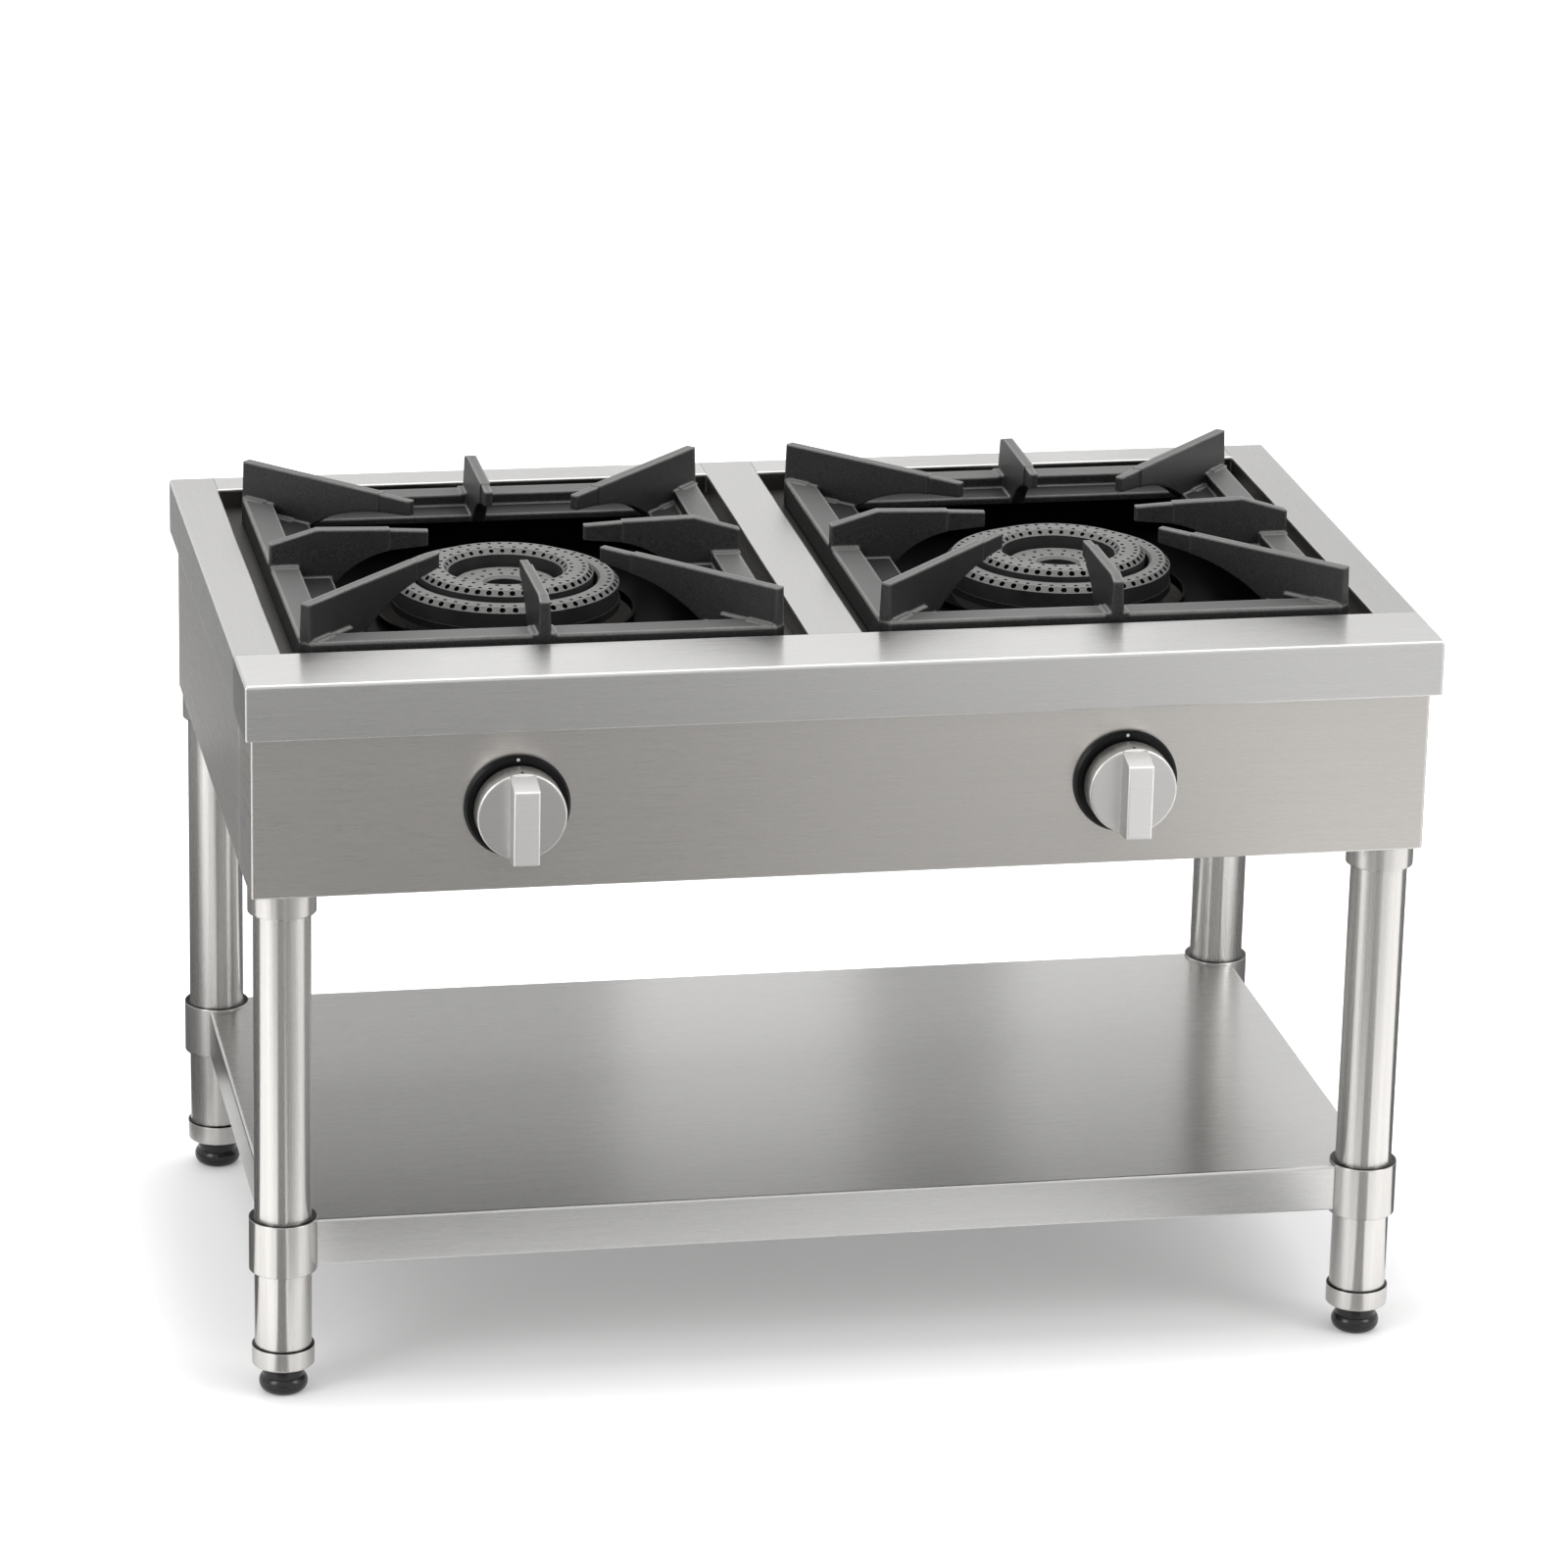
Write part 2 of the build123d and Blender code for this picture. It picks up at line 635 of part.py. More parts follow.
def make_burner_body():
    seats = [top - sizes[2] for sizes, top in
             ((inner_crown, inner_crown_top), (middle_crown, middle_crown_top), (outer_crown, outer_crown_top))]
    low = seats[1] - dish_depth
    eye = inner_crown[0] - eye_wall
    rim = outer_crown[1] + seat_lip
    foot_in, foot_out, foot_rise = dish_foot
    inner_wall = (inner_crown[1] + middle_crown[0]) / 2
    outer_wall = (middle_crown[1] + outer_crown[0]) / 2
    dish = lathe([(eye, low), (eye, seats[0]), (inner_wall, seats[0]), (inner_wall, seats[1]),
                  (outer_wall, seats[1]), (outer_wall, seats[2]), (rim, seats[2]), (rim, seats[2] - dish_flange),
                  (rim - dish_shoulder[0], seats[2] - dish_shoulder[1]), (hub_radius + foot_out, low + foot_rise),
                  (hub_radius + foot_in, low)])
    body = dish + rod(hub_radius, mixer_axis - mixer_radius, low + foot_rise)
    body -= rod(eye, mixer_axis + mixer_radius, seats[0])
    start, end, wall = throat_from * mixer_length, throat_to * mixer_length, mixer_wall
    horn = lathe([(0, 0), (mixer_radius, 0), (mixer_throat, start), (mixer_throat, end),
                  (mixer_radius, mixer_length), (0, mixer_length)])
    bore = lathe([(0, hub_radius), (mixer_radius - wall, hub_radius), (mixer_throat - wall, start),
                  (mixer_throat - wall, end), (mixer_radius - wall, mixer_length), (0, mixer_length)])
    to_front = Pos(0, 0, mixer_axis) * Rot(90, 0, 0)
    body += to_front * horn
    body -= to_front * bore
    mouth = -mixer_length
    plate_front = mouth - bracket_reach
    arm_half = bracket_height / 2
    for x in (-mixer_radius, mixer_radius - bracket_plate):
        body += block(x, x + bracket_plate, plate_front, mouth + bracket_grip,
                      mixer_axis - arm_half, mixer_axis + arm_half)
    body += block(-mixer_radius, mixer_radius, plate_front, plate_front + bracket_plate,
                  mixer_axis - arm_half, mixer_axis + arm_half)
    body -= rod_y(injector_thread, plate_front, plate_front + bracket_plate, 0, mixer_axis)
    half_lug = lug_width / 2
    for x in (-rail_offset, rail_offset):
        for y in (-lug_offset, lug_offset):
            body += block(x - half_lug, x + half_lug, y - half_lug, y + half_lug, rail_top, seats[2] - dish_flange)
    return body


def make_injector():
    plate_front = -mixer_length - bracket_reach
    head = extrude(Plane.XZ * RegularPolygon(injector_hex / 2, 6, major_radius=False), amount=injector_hex_length)
    head = Pos(0, plate_front, mixer_axis) * head
    neck_end = plate_front + bracket_plate + injector_neck
    injector = head + rod_y(injector_thread, plate_front, neck_end, 0, mixer_axis)
    return injector + rod_y(jet_radius, neck_end, -mixer_length - injector_gap, 0, mixer_axis)


def make_burner_rail():
    front, back = panel_back, body_y - sheet
    half = rail_width / 2
    rail = block(-half, half, front, back, rail_top - rail_height, rail_top)
    inner = half - rail_sheet
    return rail - block(-inner, inner, front, back, rail_top - rail_height, rail_top - rail_sheet)


plain_outer = make_crown(outer_crown, outer_crown_top, crown_bevel, crown_inner_bevels[0])
plain_middle = make_crown(middle_crown, middle_crown_top, crown_bevel, crown_inner_bevels[1])
port_drop = crown_bevel + port_radius / 2
port_z = middle_crown_top - port_drop
middle_eye = drill_ports(plain_middle, middle_crown[0], port_z, -port_slope, middle_inner_ports)
crowns = {
    "outer_crown": drill_ports(plain_outer, outer_crown[1], outer_crown_top - port_drop, port_slope, outer_ports),
    "middle_crown": drill_ports(middle_eye, middle_crown[1], port_z, port_slope, middle_ports),
    "inner_crown": make_crown(inner_crown, inner_crown_top, crown_inner_bevels[2], crown_inner_bevels[2]),
}
burner_pieces = {
    "drip_pan": make_drip_pan(),
    "grate": make_grate(),
    "burner_body": make_burner_body(),
    "injector": make_injector(),
    **crowns,
}
for name, side in SIDES.items():
    parts[f"{name}_grate_support"] = Pos(side * burner_x, 0, 0) * make_grate_support()
    for piece, shape in burner_pieces.items():
        parts[f"{name}_{piece}"] = Pos(side * burner_x, burner_y, 0) * shape
rails = [Pos(side * burner_x + offset, 0, 0) * make_burner_rail()
         for side in SIDES.values() for offset in (-rail_offset, rail_offset)]
parts["burner_rails"] = Compound(children=rails)


# Gas train: manifold, inlet nipple, a tap behind each knob, and the pipes to the burner
def make_manifold():
    end = body_y + inlet_hex_length
    points = [(manifold_left, manifold_y, knob_z), (manifold_right, manifold_y, knob_z),
              (manifold_right, end, knob_z)]
    pipe = tube_along(manifold_radius, manifold_radius - manifold_bore, points, manifold_bend)
    cap_end = (manifold_left + manifold_cap, manifold_y, knob_z)
    return pipe + rod_between(manifold_bore, points[0], cap_end)


def make_gas_inlet():
    hex_end = body_y + inlet_hex_length
    nut = extrude(Plane.XZ.offset(-hex_end) * RegularPolygon(inlet_hex / 2, 6, major_radius=False),
                  amount=inlet_hex_length)
    nut = Pos(manifold_right, 0, knob_z) * nut
    thread_start = inlet_end - inlet_thread_length
    nut -= rod_y(manifold_radius, body_y, hex_end, manifold_right, knob_z)
    nipple = rod_y(manifold_radius + inlet_shoulder, hex_end, thread_start, manifold_right, knob_z)
    nipple += rod_y(inlet_thread_radius, thread_start, inlet_end, manifold_right, knob_z)
    return nut + nipple - rod_y(manifold_bore, hex_end, inlet_end, manifold_right, knob_z)


plug_front = panel_back + valve_neck_length + plug_seat
plug_back = plug_front + plug_length
outlet_y = (plug_front + plug_back) / 2
stem_inner_end = plug_back - plug_seat - push_travel - plug_gap
stem_outer_end = knob_face + key_wall


def make_valve_body():
    """The tap body on the Y axis, saddled onto the manifold behind it."""
    shoulder = panel_back + valve_neck_length
    body = rod_y(valve_neck_radius, panel_back, shoulder)
    body += rod_y(valve_radius, shoulder, plug_back + plug_seat)
    body += rod_y(valve_tail_radius, plug_back + plug_seat, manifold_y)
    outlet = rod(pipe_radius + outlet_wall, 0, valve_radius + outlet_height)
    body += Pos(0, outlet_y, 0) * outlet
    body -= Pos(0, manifold_y, 0) * Rot(0, 90, 0) * Cylinder(manifold_radius, 3 * valve_radius)
    body -= rod_y(plug_radius + plug_gap, plug_front, plug_back)
    return body - rod_y(stem_radius + plug_gap, panel_back, plug_front)


def key_rod(radius, front, back, flat=stem_flat):
    """A rod along Y with one flat on its left side."""
    section = Circle(radius) - Pos(-flat - radius, 0) * Rectangle(2 * radius, 2 * radius)
    return extrude(Plane.XZ.offset(-back) * section, amount=back - front)


def make_valve_plug():
    plug = rod_y(plug_radius, plug_front + plug_gap, plug_back - plug_gap)
    return plug - key_rod(stem_radius + plug_gap, plug_front, plug_back - plug_seat, stem_flat + plug_gap)


def make_valve_stem():
    """Round where it passes the panel, with a flat in the knob and in the plug, which it enters deeper when pushed."""
    flat_start = plug_front - push_travel - plug_gap
    shank = rod_y(stem_radius, knob_back, flat_start)
    return shank + key_rod(stem_radius, flat_start, stem_inner_end) + key_rod(stem_radius, stem_outer_end, knob_back)


def make_bezel():
    disc = rod(bezel_radius, 0, bezel_thickness)
    disc = chamfer(edges_at_height(disc, bezel_thickness), bezel_bevel)
    disc -= rod(stem_hole_radius + bezel_hole_gap, 0, bezel_thickness)
    return Pos(0, -body_y, 0) * Rot(90, 0, 0) * disc


def make_knob():
    """Skirted disc with a full-width grip bar; its axis is Y and the grip stands upright."""
    disc = rod(knob_radius, 0, knob_skirt)
    disc = fillet(edges_at_height(disc, knob_skirt), knob_edge)
    grip_reach = sqrt(knob_radius**2 - (grip_width / 2) ** 2)
    profile = [(-grip_reach, 0), (grip_reach, 0), (grip_reach - grip_slope, grip_depth),
               (-grip_reach + grip_slope / 3, grip_depth)]
    grip = extrude(Plane.YZ * make_face(Polyline(*profile, close=True)), amount=grip_width / 2, both=True)
    grip = fillet(edges_at_height(grip, grip_depth), grip_edge)
    knob = disc + Pos(0, 0, knob_skirt) * grip
    hollow = rod(knob_radius - knob_wall, 0, knob_skirt - knob_wall) - rod(knob_boss, 0, knob_skirt - knob_wall)
    knob -= hollow
    upright = Pos(0, knob_back, 0) * Rot(90, 0, 0) * knob
    return upright - key_rod(stem_radius, stem_outer_end, knob_back)


def make_supply_pipe(side, knob_x):
    """Up from the tap's outlet, across to the burner's axis and straight into its injector."""
    outlet_z = knob_z + valve_radius + outlet_height
    points = [(knob_x, outlet_y, outlet_z), (knob_x, outlet_y, mixer_axis),
              (side * burner_x, injector_y - pipe_lead, mixer_axis), (side * burner_x, injector_y, mixer_axis)]
    return tube_along(pipe_radius, pipe_wall, points, pipe_bend)


parts["gas_manifold"] = make_manifold()
parts["gas_inlet"] = make_gas_inlet()
for name, side in SIDES.items():
    place = Pos(KNOB_X[name], 0, knob_z)
    parts[f"{name}_valve_body"] = place * make_valve_body()
    parts[f"{name}_valve_plug"] = place * make_valve_plug()
    parts[f"{name}_valve_stem"] = place * make_valve_stem()
    parts[f"{name}_bezel"] = place * make_bezel()
    parts[f"{name}_knob"] = place * make_knob()
    parts[f"{name}_supply_pipe"] = make_supply_pipe(side, KNOB_X[name])


os.makedirs("parts", exist_ok=True)
for name, shape in parts.items():
    export_step(shape, f"parts/{name}.step")
print(len(parts), "nodes")
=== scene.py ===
"""Stock pot range: finishes, rounded castings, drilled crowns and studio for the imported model.

The file goes through the range as it is put together. Lengths are metres, in the model's frame:
+X to the cook's right, +Y to the back, +Z up, origin on the floor under the middle of the range.
"""

from math import cos, pi, radians, sin

import bmesh
import bpy
import numpy as np
from mathutils import Matrix, Vector


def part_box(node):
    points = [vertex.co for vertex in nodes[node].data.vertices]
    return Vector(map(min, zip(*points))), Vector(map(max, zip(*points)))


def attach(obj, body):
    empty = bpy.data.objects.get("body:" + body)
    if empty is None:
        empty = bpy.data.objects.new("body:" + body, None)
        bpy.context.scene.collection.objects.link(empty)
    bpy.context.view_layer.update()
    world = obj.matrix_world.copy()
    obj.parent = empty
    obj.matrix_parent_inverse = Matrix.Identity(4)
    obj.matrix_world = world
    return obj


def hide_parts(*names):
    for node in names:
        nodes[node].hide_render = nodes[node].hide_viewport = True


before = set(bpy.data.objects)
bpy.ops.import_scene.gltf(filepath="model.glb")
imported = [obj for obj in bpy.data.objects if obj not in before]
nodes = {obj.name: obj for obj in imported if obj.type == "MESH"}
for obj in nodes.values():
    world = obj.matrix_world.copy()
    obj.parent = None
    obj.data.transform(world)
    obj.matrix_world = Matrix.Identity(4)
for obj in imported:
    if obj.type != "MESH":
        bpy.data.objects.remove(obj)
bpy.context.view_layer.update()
scene = bpy.context.scene
SIDES = ("left", "right")
CORNERS = ("front_left", "front_right", "back_left", "back_right")


# ---- Worktop -------------------------------------------------------------------------------------
# Satin stainless sheet, 1.5 mm, folded down all round. The front rail runs the full width, the side
# rails and the bridge run back from it, and the back rails are let in between them: the grain turns
# at each weld.

def new_material(name):
    """An empty material with its output and a Principled shader; returns material, nodes, links, shader."""
    material = bpy.data.materials.new(name)
    material.use_nodes = True
    tree = material.node_tree
    shader = tree.nodes["Principled BSDF"]
    return material, tree.nodes, tree.links, shader


def new_group(name, inputs, outputs):
    """A shader node group with named sockets; inputs and outputs are (name, type, default) rows."""
    group = bpy.data.node_groups.new(name, "ShaderNodeTree")
    for socket, kind, default in inputs:
        made = group.interface.new_socket(socket, in_out="INPUT", socket_type=f"NodeSocket{kind}")
        if default is not None:
            made.default_value = default
    for socket, kind in outputs:
        group.interface.new_socket(socket, in_out="OUTPUT", socket_type=f"NodeSocket{kind}")
    source = group.nodes.new("NodeGroupInput")
    sink = group.nodes.new("NodeGroupOutput")
    return group, group.nodes, group.links, source, sink


def math_node(tree_nodes, links, operation, *values, clamp=False):
    """A Math node on numbers or sockets; returns its result socket."""
    node = tree_nodes.new("ShaderNodeMath")
    node.operation = operation
    node.use_clamp = clamp
    for socket, value in zip(node.inputs, values):
        if isinstance(value, (int, float)):
            socket.default_value = value
        else:
            links.new(value, socket)
    return node.outputs[0]


def texture_place(tree_nodes, kind="Object"):
    """Object coordinates, or the object's own Normal."""
    return tree_nodes.new("ShaderNodeTexCoord").outputs[kind]


def split_xyz(tree_nodes, links, vector):
    """The X, Y and Z sockets of a vector."""
    node = tree_nodes.new("ShaderNodeSeparateXYZ")
    links.new(vector, node.inputs[0])
    return node.outputs


def map_range(tree_nodes, links, value, to_low, to_high, from_low=0.0, from_high=1.0):
    """Carries from_low..from_high onto to_low..to_high, held at both ends; returns the result socket."""
    node = tree_nodes.new("ShaderNodeMapRange")
    rows = (("From Min", from_low), ("From Max", from_high), ("To Min", to_low), ("To Max", to_high))
    for socket, number in rows:
        node.inputs[socket].default_value = number
    links.new(value, node.inputs["Value"])
    return node.outputs[0]


def add_bump(tree_nodes, links, shader, height, depth, normal=None):
    """Feeds the shader's normal from a Bump node: the height is in units of the depth."""
    bump = tree_nodes.new("ShaderNodeBump")
    bump.inputs["Distance"].default_value = depth
    links.new(height, bump.inputs["Height"])
    if normal is not None:
        links.new(normal, bump.inputs["Normal"])
    links.new(bump.outputs[0], shader.inputs["Normal"])


def noise_node(tree_nodes, links, vector, scale, detail=3.0, roughness=0.5):
    """A noise texture's factor."""
    node = tree_nodes.new("ShaderNodeTexNoise")
    node.inputs["Scale"].default_value = scale
    node.inputs["Detail"].default_value = detail
    node.inputs["Roughness"].default_value = roughness
    links.new(vector, node.inputs["Vector"])
    return node.outputs["Fac"]


def mix_colour(tree_nodes, links, factor, low, high):
    """A colour between low and high, which are colours or sockets."""
    node = tree_nodes.new("ShaderNodeMix")
    node.data_type = "RGBA"
    for socket, value in ((node.inputs[0], factor), (node.inputs[6], low), (node.inputs[7], high)):
        if isinstance(value, (int, float)):
            socket.default_value = value
        elif isinstance(value, (tuple, list)):
            socket.default_value = (*value[:3], 1.0)
        else:
            links.new(value, socket)
    return node.outputs[2]


def make_grain_group():
    """Brushed grain: noise drawn out along one direction, in long soft bands and fine hairlines."""
    group, g, links, source, sink = new_group(
        "brushed_grain",
        [("Place", "Vector", None), ("Stretch", "Vector", (1.0, 1.0, 1.0))],
        [("Tone", "Float"), ("Hairline", "Float")])
    stretched = g.new("ShaderNodeVectorMath")
    stretched.operation = "MULTIPLY"
    links.new(source.outputs["Place"], stretched.inputs[0])
    links.new(source.outputs["Stretch"], stretched.inputs[1])
    bands = noise_node(g, links, stretched.outputs[0], 1.0, 4.0, 0.55)
    hairs = noise_node(g, links, stretched.outputs[0], 4.5, 3.0, 0.7)
    links.new(bands, sink.inputs["Tone"])
    links.new(hairs, sink.inputs["Hairline"])
    return group


grain_group = make_grain_group()
GRAIN_LONG, GRAIN_CROSS = 3.5, 800.0
GRAIN = {"x": (GRAIN_LONG, GRAIN_CROSS, GRAIN_CROSS), "y": (GRAIN_CROSS, GRAIN_LONG, GRAIN_CROSS),
         "z": (GRAIN_CROSS, GRAIN_CROSS, GRAIN_LONG)}


def grain_at(tree_nodes, links, place, direction):
    """The grain group on Object coordinates, brushed along one axis."""
    node = tree_nodes.new("ShaderNodeGroup")
    node.node_tree = grain_group
    node.inputs["Stretch"].default_value = GRAIN[direction]
    links.new(place, node.inputs["Place"])
    return node.outputs["Tone"], node.outputs["Hairline"]


ACROSS = {"x": (0, 1, 1), "y": (1, 0, 1), "z": (0, 0, 1)}


def across_grain(tree_nodes, direction):
    """A constant direction across the grain, along which the sheen is drawn out."""
    across = tree_nodes.new("ShaderNodeCombineXYZ")
    for socket, value in zip(across.inputs, ACROSS[direction]):
        socket.default_value = value
    return across.outputs[0]


BEVEL_SAMPLES = 6
AGREED = 0.999


def make_edge_group():
    """Edges for a painted highlight: the mask is 0 where a rounded normal agrees with the surface's own
    and rises to 1 as they part. The rounded normal comes out too."""
    group, g, links, source, sink = new_group(
        "painted_edge_highlight",
        [("Radius", "Float", 0.0015), ("Agreement", "Float", 0.9)],
        [("Edge", "Float"), ("Normal", "Vector")])
    rounded = g.new("ShaderNodeBevel")
    rounded.samples = BEVEL_SAMPLES
    links.new(source.outputs["Radius"], rounded.inputs["Radius"])
    own = g.new("ShaderNodeNewGeometry")
    agree = g.new("ShaderNodeVectorMath")
    agree.operation = "DOT_PRODUCT"
    links.new(rounded.outputs[0], agree.inputs[0])
    links.new(own.outputs["Normal"], agree.inputs[1])
    mask = g.new("ShaderNodeMapRange")
    mask.inputs["From Min"].default_value = AGREED
    links.new(source.outputs["Agreement"], mask.inputs["From Max"])
    links.new(agree.outputs["Value"], mask.inputs["Value"])
    links.new(mask.outputs[0], sink.inputs["Edge"])
    links.new(rounded.outputs[0], sink.inputs["Normal"])
    return group


edge_group = make_edge_group()


def edge_at(tree_nodes, radius, agreement):
    """The painted-highlight edge group at one radius; returns its mask and rounded normal."""
    node = tree_nodes.new("ShaderNodeGroup")
    node.node_tree = edge_group
    node.inputs["Radius"].default_value = radius
    node.inputs["Agreement"].default_value = agreement
    return node.outputs["Edge"], node.outputs["Normal"]


STEEL_EDGE, STEEL_EDGE_AGREEMENT = 0.0018, 0.93
# Painted highlight: the pale colour given to the sheets' edges.
EDGE_HIGHLIGHT_STEEL = (0.92, 0.915, 0.905)
HAIR_LOW, HAIR_HIGH = 0.3, 0.7
SATIN = (0.25, 0.32)
HAIR_DEPTH = 0.000008


def finish_steel(tree_nodes, links, shader, tone, hair, across, dark, light, rough=SATIN,
                 hair_depth=HAIR_DEPTH, spread=0.75, edge_highlight_share=0.45):
    """Colour, roughness and a hairline bump from a grain's tone and hairline, with the edges painted pale as
    a highlight by the share given; the sheen is drawn out across the grain by the spread."""
    shader.inputs["Anisotropic"].default_value = spread
    links.new(across, shader.inputs["Tangent"])
    edge, rounded = edge_at(tree_nodes, STEEL_EDGE, STEEL_EDGE_AGREEMENT)
    # Painted highlight: the edges are painted pale, by the share given.
    painted_highlight = math_node(tree_nodes, links, "MULTIPLY", edge, edge_highlight_share)
    colour = mix_colour(tree_nodes, links, tone, dark, light)
    colour = mix_colour(tree_nodes, links, painted_highlight, colour, EDGE_HIGHLIGHT_STEEL)
    links.new(colour, shader.inputs["Base Color"])
    shader.inputs["Metallic"].default_value = 1.0
    roughness = map_range(tree_nodes, links, hair, *rough, HAIR_LOW, HAIR_HIGH)
    links.new(roughness, shader.inputs["Roughness"])
    add_bump(tree_nodes, links, shader, hair, hair_depth, rounded)


def make_sheet_steel(name, direction, dark, light, rough=SATIN, hair_depth=HAIR_DEPTH, spread=0.75):
    """Satin sheet brushed along one axis."""
    material, n, links, shader = new_material(name)
    tone, hair = grain_at(n, links, texture_place(n), direction)
    across = across_grain(n, direction)
    finish_steel(n, links, shader, tone, hair, across, dark, light, rough, hair_depth, spread)
    return material


TOP_DARK, TOP_LIGHT = (0.545, 0.54, 0.53), (0.60, 0.595, 0.585)
WELD_DARK, WELD_LIGHT = (0.30, 0.295, 0.285), (0.38, 0.375, 0.365)
# The rims inside the cut-outs are painted near-black: painted shade and a painted reflection of the dark
# grates.
RIM_SHADE_DARK, RIM_SHADE_LIGHT = (0.11, 0.105, 0.10), (0.20, 0.195, 0.185)
TOP_HAIR_DEPTH = 0.00001
WELD_HALF = 0.0005
RIM_START, RIM_REACH = 0.0025, 0.012
LEDGE = 0.003
support_low, support_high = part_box("right_grate_support")
rail_line, rail_back = support_low.y + LEDGE, support_high.y - LEDGE
opening_in, opening_out = support_low.x + LEDGE, support_high.x - LEDGE
worktop_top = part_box("worktop")[1].z


def between(tree_nodes, links, value, low, high):
    """1 where the value lies between low and high."""
    above = math_node(tree_nodes, links, "GREATER_THAN", value, low)
    below = math_node(tree_nodes, links, "LESS_THAN", value, high)
    return math_node(tree_nodes, links, "MULTIPLY", above, below)


def near_line(tree_nodes, links, value, line, half):
    """1 where the value is within half of a line."""
    gap = math_node(tree_nodes, links, "SUBTRACT", value, line)
    return math_node(tree_nodes, links, "LESS_THAN", math_node(tree_nodes, links, "ABSOLUTE", gap), half)


def make_worktop_steel():
    """Satin sheet whose grain runs along X on the front and back rails and along Y on the others, with a
    thin dark line at each weld, and the rims inside the cut-outs painted near-black as shade and as
    the reflection of the dark grates."""
    material, n, links, shader = new_material("worktop_steel")
    place = texture_place(n)
    parts = split_xyz(n, links, place)
    x_size = math_node(n, links, "ABSOLUTE", parts["X"])
    in_front = math_node(n, links, "LESS_THAN", parts["Y"], rail_line)
    behind = math_node(n, links, "GREATER_THAN", parts["Y"], rail_back)
    back_rail = math_node(n, links, "MULTIPLY", behind, between(n, links, x_size, opening_in, opening_out))
    along_x = math_node(n, links, "MAXIMUM", in_front, back_rail)
    tone_x, hair_x = grain_at(n, links, place, "x")
    tone_y, hair_y = grain_at(n, links, place, "y")
    tone = mix_colour(n, links, along_x, tone_y, tone_x)
    hair = mix_colour(n, links, along_x, hair_y, hair_x)
    front_weld = near_line(n, links, parts["Y"], rail_line, WELD_HALF)
    side_weld = math_node(n, links, "MAXIMUM", near_line(n, links, x_size, opening_out, WELD_HALF),
                          near_line(n, links, x_size, opening_in, WELD_HALF))
    weld = math_node(n, links, "MAXIMUM", front_weld, math_node(n, links, "MULTIPLY", side_weld, behind))
    # Painted shade: the rims below the top, inside the cut-outs, take the near-black colours.
    inside_y = between(n, links, parts["Y"], rail_line - RIM_REACH, rail_back + RIM_REACH)
    inside_x = between(n, links, x_size, opening_in - RIM_REACH, opening_out + RIM_REACH)
    below = math_node(n, links, "LESS_THAN", parts["Z"], worktop_top - RIM_START)
    rim_shade = math_node(n, links, "MULTIPLY", below, math_node(n, links, "MULTIPLY", inside_x, inside_y))
    dark = mix_colour(n, links, rim_shade, mix_colour(n, links, weld, TOP_DARK, WELD_DARK), RIM_SHADE_DARK)
    light = mix_colour(n, links, rim_shade, mix_colour(n, links, weld, TOP_LIGHT, WELD_LIGHT), RIM_SHADE_LIGHT)
    turned = n.new("ShaderNodeMix")
    turned.data_type = "VECTOR"
    links.new(along_x, turned.inputs[0])
    links.new(across_grain(n, "y"), turned.inputs[4])
    links.new(across_grain(n, "x"), turned.inputs[5])
    finish_steel(n, links, shader, tone, hair, turned.outputs[1], dark, light, hair_depth=TOP_HAIR_DEPTH)
    return material


def dress(material, *names):
    """Puts a material in the slots of CAD nodes."""
    for name in names:
        slots = nodes[name].data.materials
        slots.clear()
        slots.append(material)


dress(make_worktop_steel(), "worktop")
# The grate supports are painted near-black: painted shade under the grates and a painted reflection of them.
shaded_ledge_steel = make_sheet_steel("shaded_ledge_steel", "x", (0.035, 0.034, 0.032), (0.06, 0.058, 0.055), (0.38, 0.5))
dress(shaded_ledge_steel, "left_grate_support", "right_grate_support")


# ---- Body ----------------------------------------------------------------------------------------
# A plain apron that wraps both front corners, two side sheets and a back sheet, brushed lengthwise.

FACES_ALONG = 0.7
APRON_DARK, APRON_LIGHT = (0.535, 0.515, 0.49), (0.59, 0.57, 0.545)
PANEL_DARK, PANEL_LIGHT = (0.535, 0.518, 0.496), (0.59, 0.572, 0.55)
# Painted shade for the sheets' inner faces.
INNER_SHADE_DARK, INNER_SHADE_LIGHT = (0.03, 0.029, 0.027), (0.08, 0.077, 0.072)


def make_apron_steel():
    """Satin sheet brushed lengthwise: along X on the front, along Y where it wraps the corners."""
    material, n, links, shader = new_material("apron_steel")
    place = texture_place(n)
    facing = split_xyz(n, links, texture_place(n, "Normal"))
    sideways = math_node(n, links, "ABSOLUTE", facing["X"])
    wrapped = math_node(n, links, "GREATER_THAN", sideways, FACES_ALONG)
    tone_x, hair_x = grain_at(n, links, place, "x")
    tone_y, hair_y = grain_at(n, links, place, "y")
    tone = mix_colour(n, links, wrapped, tone_x, tone_y)
    hair = mix_colour(n, links, wrapped, hair_x, hair_y)
    finish_steel(n, links, shader, tone, hair, across_grain(n, "z"), APRON_DARK, APRON_LIGHT)
    return material


